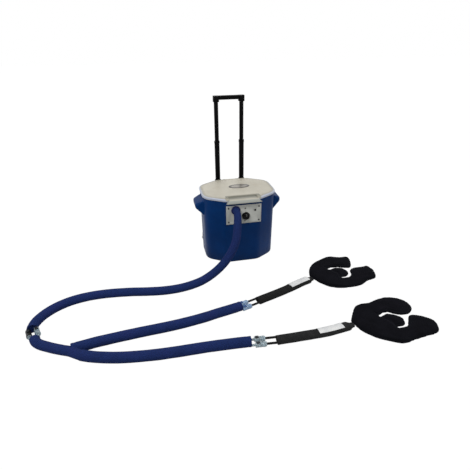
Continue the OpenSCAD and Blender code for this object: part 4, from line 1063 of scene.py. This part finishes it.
def add_handle():
    """Powder-coated tubes, moulded joints and the hand grip."""
    coat = Look("tube_coat", Specular_IOR_Level=0.05)
    clouds = coat.grain(30, 4, stretch=(1, 1, 0.2)).soft(0.3, 0.7)
    rubbed = coat.grain(300, 5, stretch=(1, 1, 0.05)).soft(0.66, 0.74)
    black = coat.blend(clouds, srgb(3, 3, 4), srgb(8, 8, 9))
    coat.colour(coat.blend(rubbed * 0.1, black, srgb(50, 50, 52)))
    coat.rough(coat.grain(200, 3) * 0.2 + 0.28)
    coat.relief(coat.grain(1400, 2), 0.00002)
    for name in ("outer_tubes", "middle_tubes", "inner_tubes"):
        dressed(name, coat, edge=0.0003, angle=40)
    plastic = moulded("handle_plastic", srgb(4, 4, 5), srgb(9, 9, 10), 0.5, gloss=0.06)
    for name in ("middle_collars", "upper_bracket", "lower_bracket", "handle_grip"):
        dressed(name, plastic, edge=0.0008)
    grip = Look("grip_rubber", Roughness=0.8, Specular_IOR_Level=0.06)
    x, y, z = grip.place()
    ribs = (x * 2 * math.pi / 0.0045).sine()
    grip.colour(grip.blend(ribs.soft(-0.5, 0.5), srgb(5, 5, 5), srgb(16, 16, 16)))
    grip.relief(ribs * 0.5 + grip.grain(1500, 2) * 0.5, 0.0004)
    dressed("grip_pad", grip, edge=0.0)
    painted(moulded("bush_plastic", srgb(200, 200, 196), srgb(188, 188, 184), 0.45),
            "middle_bushes", "inner_bushes")


def add_wheels():
    for side in ("left", "right"):
        dressed(side + "_wheel", wheel_look(side), edge=0.0006)
    dressed("axle_caps", brushed("cap_steel", srgb(150, 152, 156), (1, 1, 1)), edge=0.0005)


def halves(side_angle, end):
    """Tells the two couplings of a pair apart: True for the one on the left of the run."""
    left = Vector((-math.sin(math.radians(side_angle)), math.cos(math.radians(side_angle)), 0))
    centre = Vector(end) * MM

    def on_left(middle, part):
        return (middle - centre).dot(left) > 0

    def on_right(middle, part):
        return not on_left(middle, part)

    return on_left, on_right


def add_couplings():
    """Quick couplings in clear plastic; the main pair has one black body."""
    pale = clear_plastic("coupling_pale_blue", srgb(190, 216, 240), srgb(164, 194, 226))
    grey = clear_plastic("coupling_grey", srgb(192, 210, 218), srgb(164, 182, 190))
    black = moulded("coupling_black", srgb(8, 8, 9), srgb(15, 15, 17), 0.4, gloss=0.2)
    latch = moulded("latch_plastic", srgb(20, 30, 38), srgb(14, 20, 26), 0.3, 1500)
    blue_latch = moulded("latch_blue", srgb(52, 90, 148), srgb(40, 74, 128), 0.3, 1500)
    inner, outer = halves(MAIN_ANGLE, MAIN_ROUTE[-1])
    pieces = {"rear": []}
    pieces["main"] = [
        dressed("main_couplings", grey, 0.0006, "main_coupling_clear", inner),
        dressed("main_couplings", black, 0.0006, "main_coupling_black", outer),
        dressed("main_latch_inner", latch, 0.0005),
        dressed("main_latch_outer", latch, 0.0005),
    ]
    pieces["front"] = [dressed("main_plugs", grey, 0.0005)]
    for side, look, catch in (("rear", pale, blue_latch), ("front", grey, latch)):
        pieces[side] += [dressed(side + "_couplings", look, 0.0006)]
        pieces[side] += [dressed(side + "_latch_" + place, catch, 0.0005) for place in ("far", "near")]
    tube_black = moulded("tube_black", srgb(6, 6, 7), srgb(14, 14, 15), 0.5, gloss=0.12)
    for side, look in (("rear", pale), ("front", grey)):
        plugs = dressed(side + "_plugs", look, 0.0005)
        tubes = dressed(side + "_pad_hose", tube_black, 0.0, side + "_twin_tubes",
                        lambda middle, part: part.dimensions.length < 0.12)
        pieces[side + "_pad"] = [plugs, tubes]
    return pieces


# ---------------------------------------------------------------- studio

FLOOR_GLOW = 0.86
WORLD_LIGHT = 0.44
LIGHTS_FACE = Vector((-0.1, -0.2, 0.1))


def add_studio():
    """White floor and surroundings with soft light; the floor keeps a faint shadow."""
    bpy.ops.mesh.primitive_plane_add(size=30, location=(0, 0, 0))
    floor = bpy.context.active_object
    floor.name = "floor"
    material = bpy.data.materials.new("floor_white")
    material.use_nodes = True
    tree = material.node_tree
    tree.nodes.clear()
    out = tree.nodes.new("ShaderNodeOutputMaterial")
    matte = tree.nodes.new("ShaderNodeBsdfDiffuse")
    matte.inputs["Color"].default_value = (0.18, 0.18, 0.18, 1)
    glow = tree.nodes.new("ShaderNodeEmission")
    glow.inputs["Strength"].default_value = 1.16
    mix = tree.nodes.new("ShaderNodeMixShader")
    tree.links.new(seen_by_eye(tree, FLOOR_GLOW), mix.inputs[0])
    tree.links.new(matte.outputs[0], mix.inputs[1])
    tree.links.new(glow.outputs[0], mix.inputs[2])
    tree.links.new(mix.outputs[0], out.inputs[0])
    floor.data.materials.append(material)

    world = bpy.data.worlds.new("surroundings")
    bpy.context.scene.world = world
    world.use_nodes = True
    tree = world.node_tree
    tree.nodes.clear()
    out = tree.nodes.new("ShaderNodeOutputWorld")
    light = tree.nodes.new("ShaderNodeBackground")
    light.inputs["Strength"].default_value = WORLD_LIGHT
    white = tree.nodes.new("ShaderNodeBackground")
    mix = tree.nodes.new("ShaderNodeMixShader")
    white.inputs["Color"].default_value = (1, 1, 1, 1)
    light.inputs["Color"].default_value = (0.97, 0.985, 1, 1)
    tree.links.new(seen_by_eye(tree, 1.0), mix.inputs[0])
    tree.links.new(light.outputs[0], mix.inputs[1])
    tree.links.new(white.outputs[0], mix.inputs[2])
    tree.links.new(mix.outputs[0], out.inputs[0])

    for name, at, size, power in (
        ("key", (-1.9, -2.2, 3.3), 2.0, 68),
        ("fill", (2.8, -1.6, 2.2), 2.4, 26),
        ("back", (0.3, 2.8, 2.8), 2.2, 24),
    ):
        data = bpy.data.lights.new(name, "AREA")
        data.size = size
        data.energy = power
        lamp = bpy.data.objects.new(name, data)
        bpy.context.scene.collection.objects.link(lamp)
        lamp.location = at
        lamp.rotation_euler = (LIGHTS_FACE - Vector(at)).to_track_quat("-Z", "Y").to_euler()


def seen_by_eye(tree, share):
    """share for what the camera sees itself, in gloss or through clear plastic, and 0 for light."""
    path = tree.nodes.new("ShaderNodeLightPath")
    total = path.outputs["Is Camera Ray"]
    for ray in ("Is Glossy Ray", "Is Transmission Ray"):
        node = tree.nodes.new("ShaderNodeMath")
        node.operation = "MAXIMUM"
        tree.links.new(total, node.inputs[0])
        tree.links.new(path.outputs[ray], node.inputs[1])
        total = node.outputs[0]
    scale = tree.nodes.new("ShaderNodeMath")
    scale.operation = "MULTIPLY"
    tree.links.new(total, scale.inputs[0])
    scale.inputs[1].default_value = share
    return scale.outputs[0]


# ---------------------------------------------------------------- putting it together

add_camera()
hoses = add_hoses()
couplings = add_couplings()

for run, thick in (("main", HOSE_D), ("front", BRANCH_D), ("rear", BRANCH_D)):
    hose, line = hoses[run]
    round(length_of(line), 2)

label = label_cloth()
pad_cloth = pad_black()
for side, route, start, end, outline, first in (
    ("rear", REAR_PAD_ROUTE, REAR_ANGLE, REAR_NECK_ANGLE, REAR_PAD_OUTLINE, 0.186),
    ("front", FRONT_PAD_ROUTE, FRONT_ANGLE, FRONT_NECK_ANGLE, FRONT_PAD_OUTLINE, 0.169),
):
    body = side + "_wrap"
    sleeve, line, sizes = pad_sleeve(side, route, flat_way(start), flat_way(end), body)
    tag = label_on(side, line, sizes, first, first + LABEL_L, body, label)
    round(length_of(line), 2)
    pad = add_pad(side, outline, pad_cloth, body)

add_cooler()
add_handle()
add_wheels()
add_studio()

bpy.context.scene.view_settings.view_transform = "Standard"
